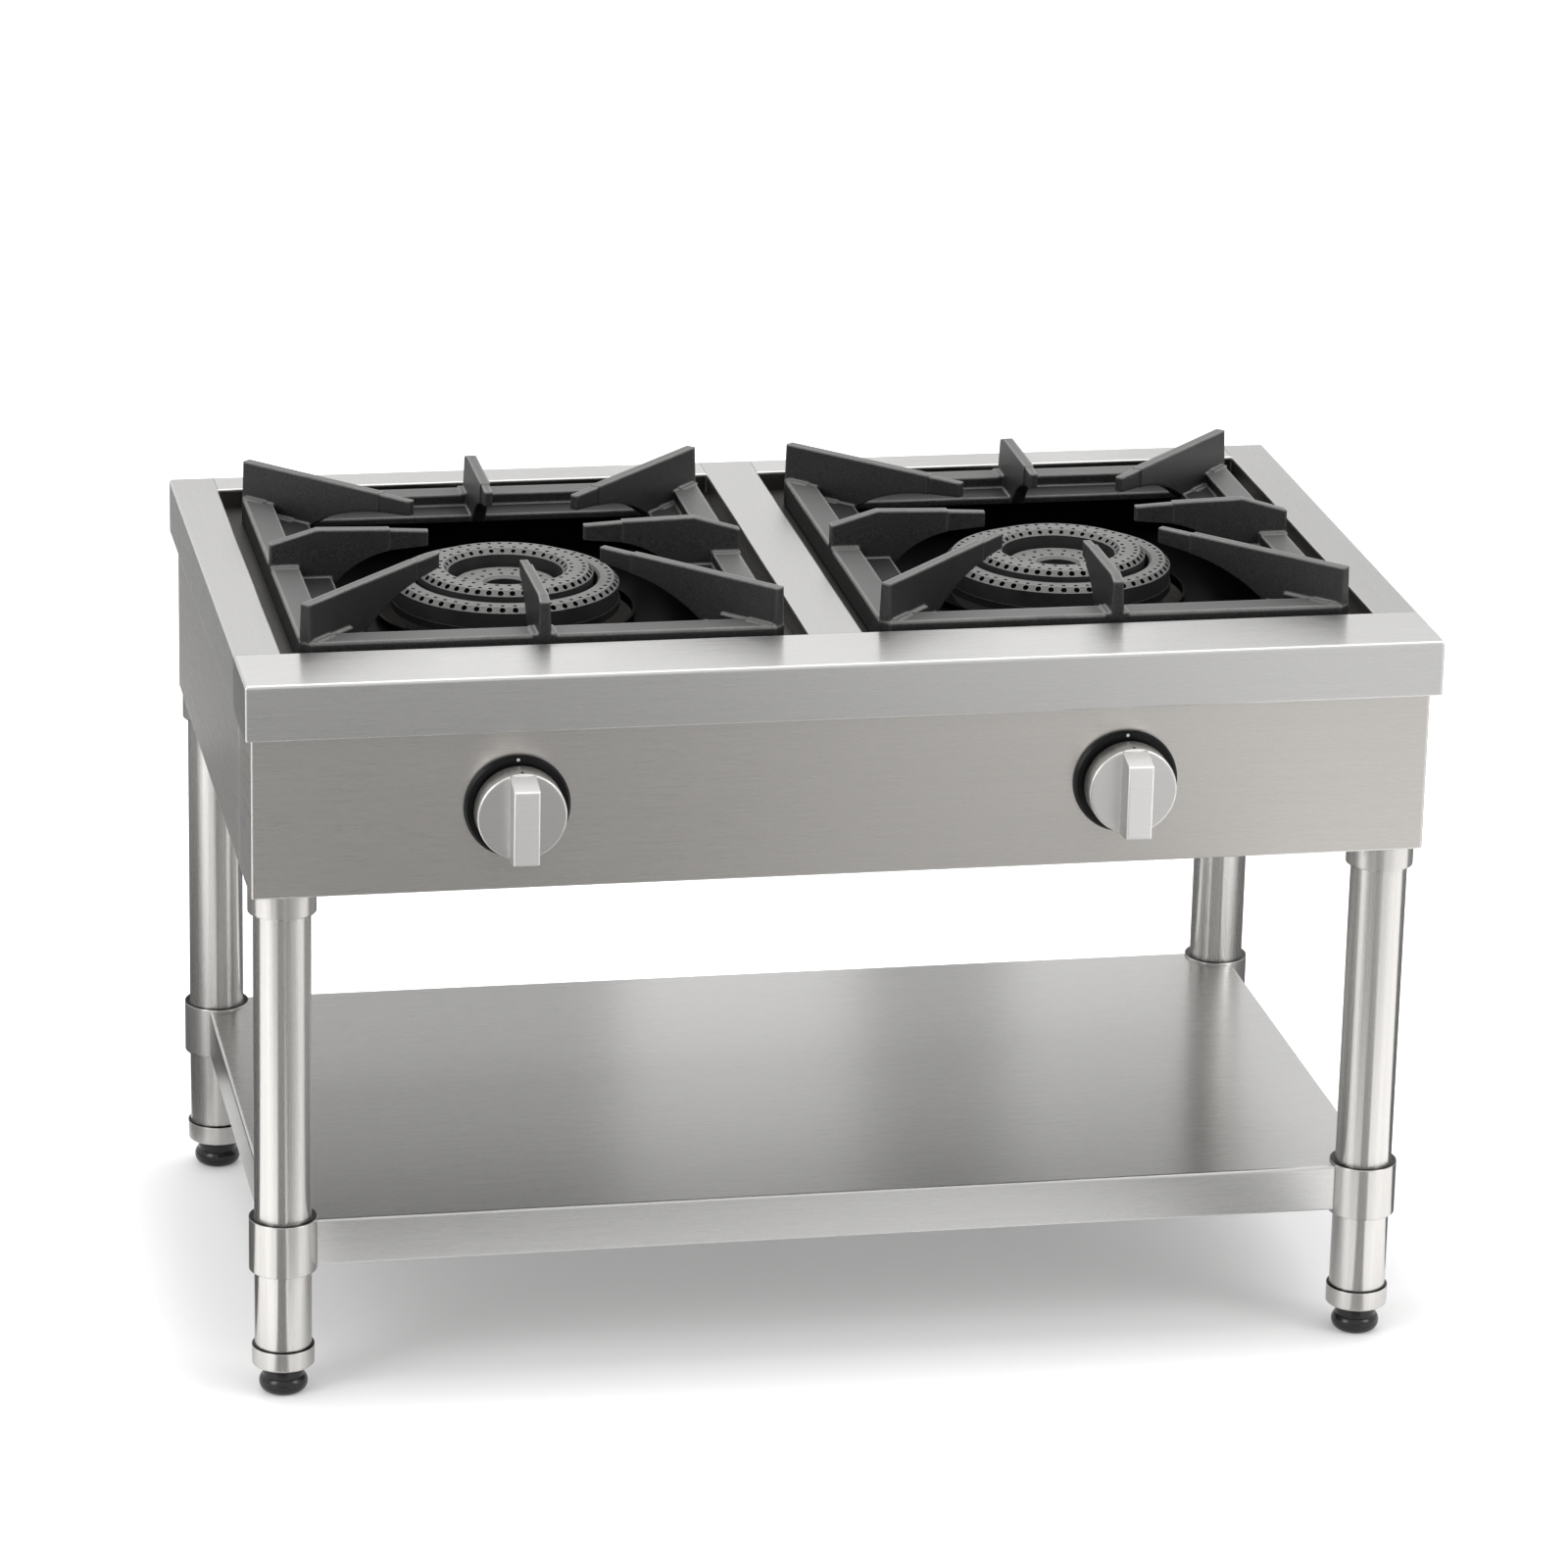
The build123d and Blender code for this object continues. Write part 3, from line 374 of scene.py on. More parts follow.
def make_panel_steel(name, direction, axis, sign):
    """Satin sheet whose inner face, which looks along the axis in the way of the sign, is painted
    near-black with a cloudy tone as the shade inside the body.
    """
    material, n, links, shader = new_material(name)
    place = texture_place(n)
    tone, hair = grain_at(n, links, place, direction)
    facing = split_xyz(n, links, texture_place(n, "Normal"))
    inward = math_node(n, links, "MULTIPLY", facing[axis], sign)
    inner = math_node(n, links, "GREATER_THAN", inward, FACES_ALONG)
    # Painted shade: the inner face is painted near-black, with a cloudy change of tone.
    painted_inner_shade = mix_colour(n, links, noise_node(n, links, place, 30.0, 4.0), INNER_SHADE_DARK, INNER_SHADE_LIGHT)
    dark = mix_colour(n, links, inner, PANEL_DARK, painted_inner_shade)
    light = mix_colour(n, links, inner, PANEL_LIGHT, painted_inner_shade)
    finish_steel(n, links, shader, tone, hair, across_grain(n, direction), dark, light)
    return material


dress(make_apron_steel(), "front_panel")
dress(make_panel_steel("back_steel", "x", "Y", -1.0), "back_panel")
dress(make_panel_steel("left_side_steel", "y", "X", 1.0), "left_side_panel")
dress(make_panel_steel("right_side_steel", "y", "X", -1.0), "right_side_panel")


# ---- Legs and undershelf -------------------------------------------------------------------------
# Polished tube with turned rings; the shelf is the same sheet as the worktop, brushed along X.

TUBE_DEPTH, TUBE_SPREAD = 0.000003, 0.95
tube_steel = make_sheet_steel("tube_steel", "z", (0.54, 0.525, 0.505), (0.66, 0.645, 0.625),
                              (0.24, 0.29), TUBE_DEPTH, TUBE_SPREAD)


def make_ring_steel():
    """Turned rings: brushed as the tube is, with their upper faces painted black as the shade in the
    narrow gap round the tube.
    """
    material, n, links, shader = new_material("ring_steel")
    tone, hair = grain_at(n, links, texture_place(n), "z")
    facing = split_xyz(n, links, texture_place(n, "Normal"))
    # Painted shade: faces that look up are painted black for the shade in the gap round the tube.
    top = math_node(n, links, "GREATER_THAN", facing["Z"], FACES_ALONG)
    dark = mix_colour(n, links, top, (0.52, 0.505, 0.485), (0.01, 0.01, 0.01))
    light = mix_colour(n, links, top, (0.64, 0.625, 0.605), (0.02, 0.02, 0.02))
    finish_steel(n, links, shader, tone, hair, across_grain(n, "z"), dark, light,
                 (0.26, 0.31), TUBE_DEPTH, TUBE_SPREAD, 0.0)
    return material


ring_steel = make_ring_steel()
shelf_steel = make_sheet_steel("shelf_steel", "x", (0.52, 0.515, 0.505), (0.58, 0.575, 0.565))
dress(tube_steel, *[f"{corner}_leg" for corner in CORNERS])
dress(ring_steel, "leg_sockets", "shelf_collars", "foot_sockets", "set_screws", "back_panel_screws")
dress(shelf_steel, "undershelf")


def make_zinc():
    """Zinc-coated steel: pale spangle in patches, duller than the sheet."""
    material, n, links, shader = new_material("zinc")
    spangle = n.new("ShaderNodeTexVoronoi")
    spangle.inputs["Scale"].default_value = 160.0
    links.new(texture_place(n), spangle.inputs["Vector"])
    colour = mix_colour(n, links, spangle.outputs["Distance"], (0.46, 0.47, 0.48), (0.62, 0.63, 0.64))
    links.new(colour, shader.inputs["Base Color"])
    shader.inputs["Metallic"].default_value = 1.0
    shader.inputs["Roughness"].default_value = 0.42
    return material


dress(make_zinc(), "leg_gussets", "shelf_stiffener", *[f"{c}_foot_stud" for c in CORNERS])


# ---- Knobs ---------------------------------------------------------------------------------------
# Zinc die-castings with a satin plating, polished along the grip, over black moulded bezels with a
# white dot at the top for the off position.

MERGED, FLAT_ANGLE, SHARP_ANGLE = 1e-6, radians(0.5), radians(35.0)
ROUND_STEPS = 3


def round_edges(name, width):
    """Merges a CAD node's triangles, clears its flat faces and rounds the edges that turn sharply."""
    piece = nodes[name]
    piece.modifiers.new("join", "WELD").merge_threshold = MERGED
    flat = piece.modifiers.new("flat", "DECIMATE")
    flat.decimate_type = "DISSOLVE"
    flat.angle_limit = FLAT_ANGLE
    rounding = piece.modifiers.new("rounding", "BEVEL")
    rounding.width = width
    rounding.segments = ROUND_STEPS
    rounding.limit_method = "ANGLE"
    rounding.angle_limit = SHARP_ANGLE
    rounding.harden_normals = True


def from_middle(tree_nodes, links, part):
    """How far a point lies sideways from the nearer of two like pieces' centres, and its Y and Z."""
    place = split_xyz(tree_nodes, links, texture_place(tree_nodes))
    gaps = []
    for side in SIDES:
        low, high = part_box(f"{side}_{part}")
        gap = math_node(tree_nodes, links, "SUBTRACT", place["X"], (low.x + high.x) / 2)
        gaps.append(math_node(tree_nodes, links, "ABSOLUTE", gap))
    return math_node(tree_nodes, links, "MINIMUM", *gaps), place["Y"], place["Z"]


KNOB_ROUNDING = 0.0018
GRIP_PROUD = 0.0245
TICK_HALF, TICK_LENGTH, TICK_SETBACK, TICK_REACH = 0.0011, 0.0045, 0.0022, 0.004
SATIN_DARK, SATIN_LIGHT = (0.60, 0.59, 0.575), (0.68, 0.67, 0.655)
GRIP_DARK, GRIP_LIGHT = (0.74, 0.73, 0.72), (0.84, 0.83, 0.82)
knob_low, knob_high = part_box("left_knob")
knob_height = (knob_low.z + knob_high.z) / 2
grip_front = knob_low.y + GRIP_PROUD


def make_knob_metal():
    """Satin plating, polished pale on the grip, with a black tick let into the top of the skirt."""
    material, n, links, shader = new_material("knob_metal")
    tone, hair = grain_at(n, links, texture_place(n), "x")
    sideways, depth, height = from_middle(n, links, "knob")
    on_grip = math_node(n, links, "LESS_THAN", depth, grip_front)
    satin = mix_colour(n, links, tone, SATIN_DARK, SATIN_LIGHT)
    grip = mix_colour(n, links, tone, GRIP_DARK, GRIP_LIGHT)
    bright = mix_colour(n, links, on_grip, satin, grip)
    narrow = math_node(n, links, "LESS_THAN", sideways, TICK_HALF)
    at_top = math_node(n, links, "GREATER_THAN", height, knob_high.z - TICK_REACH)
    behind_grip = near_line(n, links, depth, grip_front + TICK_SETBACK + TICK_LENGTH / 2, TICK_LENGTH / 2)
    tick = math_node(n, links, "MULTIPLY", narrow, math_node(n, links, "MULTIPLY", at_top, behind_grip))
    links.new(mix_colour(n, links, tick, bright, (0.01, 0.01, 0.01)), shader.inputs["Base Color"])
    shader.inputs["Metallic"].default_value = 1.0
    shader.inputs["Anisotropic"].default_value = 0.4
    links.new(across_grain(n, "x"), shader.inputs["Tangent"])
    links.new(map_range(n, links, on_grip, 0.33, 0.44), shader.inputs["Roughness"])
    add_bump(n, links, shader, hair, 0.000004, edge_at(n, 0.0014, 0.9)[1])
    return material


DOT_RISE, DOT_RADIUS = 0.0405, 0.0014


def make_bezel_plastic():
    """Black moulding with a white dot printed above the knob: the dot is a circle about a point that
    stands by the rise over the knob's centre."""
    material, n, links, shader = new_material("bezel_plastic")
    sideways, depth, height = from_middle(n, links, "bezel")
    up = math_node(n, links, "SUBTRACT", height, knob_height + DOT_RISE)
    squares = math_node(n, links, "ADD", math_node(n, links, "MULTIPLY", sideways, sideways),
                        math_node(n, links, "MULTIPLY", up, up))
    dot = math_node(n, links, "LESS_THAN", squares, DOT_RADIUS ** 2)
    skin = noise_node(n, links, texture_place(n), 900.0, 2.0)
    black = mix_colour(n, links, skin, (0.004, 0.004, 0.004), (0.010, 0.010, 0.010))
    links.new(mix_colour(n, links, dot, black, (0.62, 0.62, 0.62)), shader.inputs["Base Color"])
    shader.inputs["Roughness"].default_value = 0.30
    shader.inputs["Specular IOR Level"].default_value = 0.15
    add_bump(n, links, shader, skin, 0.00003)
    return material


dress(make_knob_metal(), "left_knob", "right_knob")
dress(make_bezel_plastic(), "left_bezel", "right_bezel")
for side in SIDES:
    round_edges(f"{side}_knob", KNOB_ROUNDING)


# ---- Feet ----------------------------------------------------------------------------------------
# Black moulded feet on threaded studs.

CLOUD_SCALE, CLOUD_DARK, CLOUD_LIGHT = 45.0, 0.75, 1.35


def make_moulded(name, grey, rough, speckle_scale=900.0, depth=0.00003, gloss=0.5):
    """Black moulding, enamel or paint: a faint orange-peel skin with a slight change of tone and gloss."""
    material, n, links, shader = new_material(name)
    place = texture_place(n)
    skin = noise_node(n, links, place, speckle_scale, 2.0)
    cloud = noise_node(n, links, place, CLOUD_SCALE, 3.0)
    tint = mix_colour(n, links, cloud, [grey * CLOUD_DARK] * 3, [grey * CLOUD_LIGHT] * 3)
    links.new(tint, shader.inputs["Base Color"])
    links.new(map_range(n, links, cloud, *rough), shader.inputs["Roughness"])
    shader.inputs["Specular IOR Level"].default_value = gloss
    add_bump(n, links, shader, skin, depth)
    return material


dress(make_moulded("foot_rubber", 0.006, (0.16, 0.26), gloss=0.45), *[f"{c}_foot" for c in CORNERS])


# ---- Grates and drip pans ------------------------------------------------------------------------
# Sand-cast iron grates with a baked black finish and a grainy skin, with a painted highlight along
# their upper edges and painted light on their level tops. Under them lie pressed pans in gloss black
# enamel.

GRATE_ROUNDING = 0.0011
CAST_EDGE, CAST_EDGE_AGREEMENT = 0.0034, 0.955
FINGER_START = 0.004
# Shares of the painted light on the level tops: most on the fingers, little on the frame.
FINGER_SHARE, FRAME_SHARE = 0.75, 0.05


def make_cast_iron():
    """Charcoal casting: sand grain and slow changes of tone, with a painted highlight along the upper
    edges, broken up by noise, and painted light on the level tops, most of it on the fingers."""
    material, n, links, shader = new_material("cast_iron")
    place = texture_place(n)
    sand = noise_node(n, links, place, 1100.0, 5.0, 0.65)
    cloud = noise_node(n, links, place, 32.0, 4.0)
    highlight_breakup = noise_node(n, links, place, 260.0, 4.0, 0.7)
    skin = mix_colour(n, links, cloud, (0.003, 0.003, 0.003), (0.010, 0.010, 0.010))
    grit = map_range(n, links, sand, 0.0, 1.0, 0.42, 0.62)
    fleck = mix_colour(n, links, grit, skin, (0.034, 0.034, 0.034))
    edge, rounded = edge_at(n, CAST_EDGE, CAST_EDGE_AGREEMENT)
    # Painted highlight: only edges that turn up take it, as if lit from above, and noise breaks it up.
    upward = map_range(n, links, split_xyz(n, links, rounded)["Z"], 0.10, 1.0, 0.10, 0.45)
    highlight_strength = math_node(n, links, "MULTIPLY", math_node(n, links, "ADD", cloud, 0.35),
                     math_node(n, links, "ADD", highlight_breakup, 0.55))
    highlight_strength = math_node(n, links, "MULTIPLY", highlight_strength, upward)
    painted_highlight = math_node(n, links, "MULTIPLY", edge, highlight_strength, clamp=True)
    # Painted light: faces that look up are painted paler, mostly on the fingers.
    level = map_range(n, links, split_xyz(n, links, texture_place(n, "Normal"))["Z"], 0.0, 1.0, 0.5, 0.9)
    height = split_xyz(n, links, place)["Z"]
    on_finger = math_node(n, links, "GREATER_THAN", height, worktop_top + FINGER_START)
    share = math_node(n, links, "ADD", math_node(n, links, "MULTIPLY", on_finger, FINGER_SHARE), FRAME_SHARE)
    painted_top_light = math_node(n, links, "MULTIPLY", level, share)
    lit_top_colour = mix_colour(n, links, sand, (0.07, 0.07, 0.07), (0.20, 0.199, 0.195))
    topped = mix_colour(n, links, painted_top_light, fleck, lit_top_colour)
    links.new(mix_colour(n, links, painted_highlight, topped, (0.28, 0.278, 0.27)), shader.inputs["Base Color"])
    links.new(map_range(n, links, sand, 0.34, 0.52), shader.inputs["Roughness"])
    shader.inputs["Specular IOR Level"].default_value = 0.30
    add_bump(n, links, shader, sand, 0.00012, rounded)
    return material


dress(make_cast_iron(), "left_grate", "right_grate")
for side in SIDES:
    round_edges(f"{side}_grate", GRATE_ROUNDING)
pan_enamel = make_moulded("pan_enamel", 0.0022, (0.30, 0.38), 60.0, gloss=0.02)
rail_paint = make_moulded("rail_paint", 0.012, (0.45, 0.6), 400.0, gloss=0.2)
dish_iron = make_moulded("dish_iron", 0.009, (0.5, 0.65), 700.0, 0.0001, 0.12)
dress(pan_enamel, "left_drip_pan", "right_drip_pan")
dress(rail_paint, "burner_rails")
dress(dish_iron, "left_burner_body", "right_burner_body")


# ---- Burner crowns -------------------------------------------------------------------------------
# Grey-iron rings that drop into the dish of each burner: upturned channels with a flat top, drilled
# along both shoulders for the flames and through the top for the small keeping flames.

def ring_points(radius, height, divisions):
    """A level circle: the angle runs evenly through a full turn, starting on +X."""
    angle = 2 * pi * np.arange(divisions) / divisions
    return np.stack((radius * np.cos(angle), radius * np.sin(angle), np.full(divisions, height)), axis=1)


def stitch_rings(first, second):
    """Triangles between two closed rings of any counts: the edge midpoints of both are put in order of
    their share of the turn, and each edge is joined to the vertex that the other ring has reached."""
    halves = np.concatenate(((np.arange(first) + 0.5) / first, (np.arange(second) + 0.5) / second))
    order = np.argsort(halves, kind="stable")
    on_first = order < first
    reached = np.cumsum(on_first)
    met = np.cumsum(~on_first)
    along_first = np.stack((reached - 1, reached % first, first + met % second), axis=1)[on_first]
    along_second = np.stack((reached % first, first + met % second, first + met - 1), axis=1)[~on_first]
    return np.concatenate((along_first, along_second))


HOLE_DEPTH = 0.004


def drilled_band(start, end, holes, hole_radius, along, up=3):
    """A conical band from start to end, each a (radius, height), cut in one tile per hole. A tile runs
    from its square border to a circle, and the circle is carried straight in to a closed end:
    place = centre + hole_radius * (cos a * round + sin a * slope) - depth * outward. The last array
    marks the quads of the holes' walls with 1."""
    s_side, t_side = np.arange(along) / along, np.arange(up) / up
    s = np.concatenate((s_side, np.ones(up), 1 - s_side, np.zeros(up)))
    t = np.concatenate((np.zeros(along), t_side, np.ones(along), 1 - t_side))
    tile = np.arange(holes)[:, None]
    angle = 2 * pi * (tile + s - 0.5) / holes
    radius = start[0] + (end[0] - start[0]) * t
    height = np.broadcast_to(start[1] + (end[1] - start[1]) * t, angle.shape)
    border = np.stack((radius * np.cos(angle), radius * np.sin(angle), height), axis=2)
    middle = 2 * pi * np.arange(holes) / holes
    run, rise = end[0] - start[0], end[1] - start[1]
    slant = np.hypot(run, rise)
    out = np.stack((np.cos(middle), np.sin(middle), np.zeros(holes)), axis=1)[:, None, :]
    around = np.stack((-np.sin(middle), np.cos(middle), np.zeros(holes)), axis=1)[:, None, :]
    upward = np.array((0.0, 0.0, 1.0))
    slope = (out * run + upward * rise) / slant
    outward = (upward * run - out * rise) / slant
    mid_radius = (start[0] + end[0]) / 2
    centre = out * mid_radius + upward * (start[1] + end[1]) / 2
    turn = np.arctan2((t - 0.5) * slant, (s - 0.5) * 2 * pi * mid_radius / holes)[None, :, None]
    circle = centre + hole_radius * (np.cos(turn) * around + np.sin(turn) * slope)
    floor_ring = circle - HOLE_DEPTH * outward
    points = np.concatenate((border, circle, floor_ring), axis=1)
    count = len(s)
    near = np.arange(count)
    far = (near + 1) % count
    quads = np.concatenate([np.stack((near + low, far + low, far + low + count, near + low + count), axis=1)
                            for low in (0, count)])
    first = np.arange(holes)[:, None, None] * 3 * count
    caps = (near + 2 * count)[None, None, :] + first
    walls = np.tile(np.repeat((0.0, 1.0), count), holes)
    return points.reshape(-1, 3), (quads[None] + first).reshape(-1, 4), caps.reshape(-1, count), walls


def make_crown(name, rings, bands):
    """A closed surface of revolution through rings of (radius, height, divisions). The band after ring
    i is drilled where bands holds i: (holes, hole radius, divisions per hole). A face attribute is 1
    inside the holes, which are painted black there as shade."""
    vertices, faces, painted_hole_shade = [], [], []
    total = 0
    for i, (radius, height, divisions) in enumerate(rings):
        next_radius, next_height, next_divisions = rings[(i + 1) % len(rings)]
        if i in bands:
            holes, hole_radius, along = bands[i]
            points, quads, caps, walls = drilled_band((radius, height), (next_radius, next_height),
                                                      holes, hole_radius, along)
            groups = (quads, caps)
            # The holes' walls and ends are marked for painted shade.
            painted_hole_shade.extend((walls, np.ones(holes)))
        else:
            points = np.concatenate((ring_points(radius, height, divisions),
                                     ring_points(next_radius, next_height, next_divisions)))
            groups = (stitch_rings(divisions, next_divisions),)
            painted_hole_shade.append(np.zeros(divisions + next_divisions))
        vertices.append(points)
        for group in groups:
            faces.extend((group + total).tolist())
        total += len(points)
    mesh = bpy.data.meshes.new(name)
    mesh.from_pydata(np.concatenate(vertices).tolist(), [], faces)
    mesh.attributes.new("painted_hole_shade", "FLOAT", "FACE").data.foreach_set("value", np.concatenate(painted_hole_shade))
    return mesh


DOUBLED = 2e-6


def close_mesh(mesh):
    """Merges doubled vertices and turns every face outwards."""
    shape = bmesh.new()
    shape.from_mesh(mesh)
    bmesh.ops.remove_doubles(shape, verts=shape.verts, dist=DOUBLED)
    bmesh.ops.recalc_face_normals(shape, faces=shape.faces)
    shape.to_mesh(mesh)
    shape.free()


PORT, EYE_PORT, PIN_HOLE = 0.0026, 0.0021, 0.0019
OUTER_PORTS, MIDDLE_PORTS, EYE_PORTS, INNER_HOLES = 54, 46, 34, 16
CROWN_BEVEL, MIDDLE_SHOULDER, INNER_BEVEL, OUTER_EYE_BEVEL, ROOF = 0.0045, 0.0045, 0.0025, 0.002, 0.0035
PIN_BAND, EYE_BAND, INNER_BAND = 0.0115, 0.0105, 0.0125
CROWN_SIZES = {"outer_crown": (0.079, 0.097), "middle_crown": (0.049, 0.075), "inner_crown": (0.017, 0.045)}


def crown_rings(kind, low, top):
    """The rings and drilled bands of one crown, from the foot of its inner wall over the top, then back
    up and down inside the channel."""
    inner, outer = CROWN_SIZES[kind]
    under = [(outer - ROOF, low), (outer - ROOF, top - ROOF - CROWN_BEVEL),
             (inner + ROOF, top - ROOF), (inner + ROOF, low)]
    if kind == "outer_crown":
        over = [(inner, low), (inner, top - OUTER_EYE_BEVEL), (inner + OUTER_EYE_BEVEL, top),
                (outer - PIN_BAND, top), (outer - CROWN_BEVEL, top), (outer, top - CROWN_BEVEL), (outer, low)]
        along = 4
        bands = {3: (OUTER_PORTS, PIN_HOLE, along), 4: (OUTER_PORTS, PORT, along)}
        divisions = [OUTER_PORTS * along] * (len(over) + len(under))
    elif kind == "middle_crown":
        over = [(inner, low), (inner, top - MIDDLE_SHOULDER), (inner + MIDDLE_SHOULDER, top),
                (inner + EYE_BAND, top), (outer - PIN_BAND, top), (outer - CROWN_BEVEL, top),
                (outer, top - CROWN_BEVEL), (outer, low)]
        eye_along, along = 5, 4
        bands = {1: (EYE_PORTS, EYE_PORT, eye_along), 2: (EYE_PORTS, PIN_HOLE, eye_along),
                 4: (MIDDLE_PORTS, PIN_HOLE, along), 5: (MIDDLE_PORTS, PORT, along)}
        round_eye, round_rim = EYE_PORTS * eye_along, MIDDLE_PORTS * along
        divisions = [round_eye] * 4 + [round_rim] * 7 + [round_eye]
    else:
        over = [(inner, low), (inner, top - INNER_BEVEL), (inner + INNER_BEVEL, top),
                (inner + INNER_BAND, top), (outer - CROWN_BEVEL, top), (outer - INNER_BEVEL, top),
                (outer, top - INNER_BEVEL), (outer, low)]
        along = 12
        bands = {2: (INNER_HOLES, PIN_HOLE, along), 3: (INNER_HOLES, PIN_HOLE, along)}
        divisions = [INNER_HOLES * along] * (len(over) + len(under))
    rings = [(radius, height, count) for (radius, height), count in zip(over + under, divisions)]
    return rings, bands


def make_burner_iron():
    """Grey iron with a fine grain. Faces that look up are painted paler as lit from above and the sides
    darker as in shade, the edges carry a painted highlight, and the holes, which the mesh marks, are
    painted black as shade."""
    material, n, links, shader = new_material("crown_iron")
    place = texture_place(n)
    grain = noise_node(n, links, place, 900.0, 4.0, 0.7)
    cloud = noise_node(n, links, place, 60.0, 3.0)
    facing = split_xyz(n, links, texture_place(n, "Normal"))
    # Painted light and shade: faces that look up are painted paler, the sides darker.
    up = math_node(n, links, "MAXIMUM", facing["Z"], 0.0)
    side = mix_colour(n, links, cloud, (0.012, 0.012, 0.012), (0.034, 0.034, 0.033))
    top = mix_colour(n, links, grain, (0.06, 0.059, 0.058), (0.34, 0.338, 0.333))
    # Painted highlight on the edges.
    highlight_strength = math_node(n, links, "MULTIPLY", edge_at(n, 0.0008, 0.93)[0], grain)
    painted_highlight = mix_colour(n, links, highlight_strength, mix_colour(n, links, up, side, top), (0.42, 0.418, 0.41))
    # Painted shade: the holes' inner faces are painted black.
    painted_hole_shade = n.new("ShaderNodeAttribute")
    painted_hole_shade.attribute_name = "painted_hole_shade"
    links.new(mix_colour(n, links, painted_hole_shade.outputs["Fac"], painted_highlight, (0.002, 0.002, 0.002)),
              shader.inputs["Base Color"])
    shader.inputs["Metallic"].default_value = 0.5
    links.new(map_range(n, links, grain, 0.45, 0.7), shader.inputs["Roughness"])
    add_bump(n, links, shader, grain, 0.0003)
    return material


crown_iron = make_burner_iron()
for side in SIDES:
    for kind in CROWN_SIZES:
        low_corner, high_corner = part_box(f"{side}_{kind}")
        middle = (low_corner + high_corner) / 2
        rings, bands = crown_rings(kind, low_corner.z, high_corner.z)
        mesh = make_crown(f"{side}_{kind}_drilled", rings, bands)
        mesh.transform(Matrix.Translation((middle.x, middle.y, 0)))
        close_mesh(mesh)
        mesh.materials.append(crown_iron)
        crown = bpy.data.objects.new(f"{side}_{kind}_drilled", mesh)
        scene.collection.objects.link(crown)
        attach(crown, f"{side}_{kind}")
        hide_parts(f"{side}_{kind}")


# ---- Gas parts -----------------------------------------------------------------------------------
# Forged brass taps and turned brass injectors, drawn aluminium supply pipes, and a black painted
# manifold that runs behind the apron to the brass inlet at the back.

SKIN_FINER = 14


def make_metal(name, dark, light, rough, scale=70.0, depth=0.00004):
    """Bare metal with slow stains, a fine skin and a changing gloss."""
    material, n, links, shader = new_material(name)
    place = texture_place(n)
    stain = noise_node(n, links, place, scale, 5.0, 0.6)
    skin = noise_node(n, links, place, scale * SKIN_FINER, 3.0)
    links.new(mix_colour(n, links, stain, dark, light), shader.inputs["Base Color"])
    shader.inputs["Metallic"].default_value = 1.0
    links.new(map_range(n, links, stain, *rough), shader.inputs["Roughness"])
    add_bump(n, links, shader, skin, depth)
    return material


brass = make_metal("brass", (0.46, 0.31, 0.12), (0.74, 0.56, 0.27), (0.28, 0.46))
pipe_aluminium = make_metal("pipe_aluminium", (0.60, 0.60, 0.61), (0.76, 0.76, 0.77), (0.26, 0.38))
stem_steel = make_metal("stem_steel", (0.44, 0.43, 0.42), (0.58, 0.57, 0.56), (0.24, 0.34), depth=0.00001)
dress(rail_paint, "gas_manifold")
dress(brass, "gas_inlet")
for side in SIDES:
    dress(brass, f"{side}_valve_body", f"{side}_valve_plug", f"{side}_injector")
    dress(stem_steel, f"{side}_valve_stem")
    dress(pipe_aluminium, f"{side}_supply_pipe")


# ---- Studio --------------------------------------------------------------------------------------
# A white floor, a white surround and soft lamps, with the camera where the photograph was taken from.

def add_lamp(name, place, aim, size, power):
    """A rectangular soft lamp that faces a point."""
    data = bpy.data.lights.new(name, "AREA")
    data.shape = "RECTANGLE"
    data.size, data.size_y = size
    data.energy = power
    lamp = bpy.data.objects.new(name, data)
    lamp.location = place
    lamp.rotation_euler = (Vector(aim) - Vector(place)).to_track_quat("-Z", "Y").to_euler()
    scene.collection.objects.link(lamp)
    return lamp


add_lamp("overhead", (0.2, 0.6, 3.0), (0, 0, 0.5), (4.2, 3.2), 66.0)
add_lamp("left_fill", (-2.6, -1.6, 1.7), (0, 0, 0.4), (1.2, 1.8), 26.0)
add_lamp("right_fill", (2.4, -2.0, 1.9), (0, 0, 0.4), (1.2, 1.8), 22.0)


def reflected_or_seen(tree_nodes, links):
    """1 for the camera's rays and for those that metal and glass send on."""
    path = tree_nodes.new("ShaderNodeLightPath").outputs
    through = math_node(tree_nodes, links, "MAXIMUM", path["Is Glossy Ray"], path["Is Transmission Ray"])
    return math_node(tree_nodes, links, "MAXIMUM", path["Is Camera Ray"], through)


FLOOR_REACH, FLOOR_GREY = 12.0, 0.84
FLOOR_SHADE, FLOOR_OPEN, FLOOR_FADE = 0.16, 0.64, 0.18


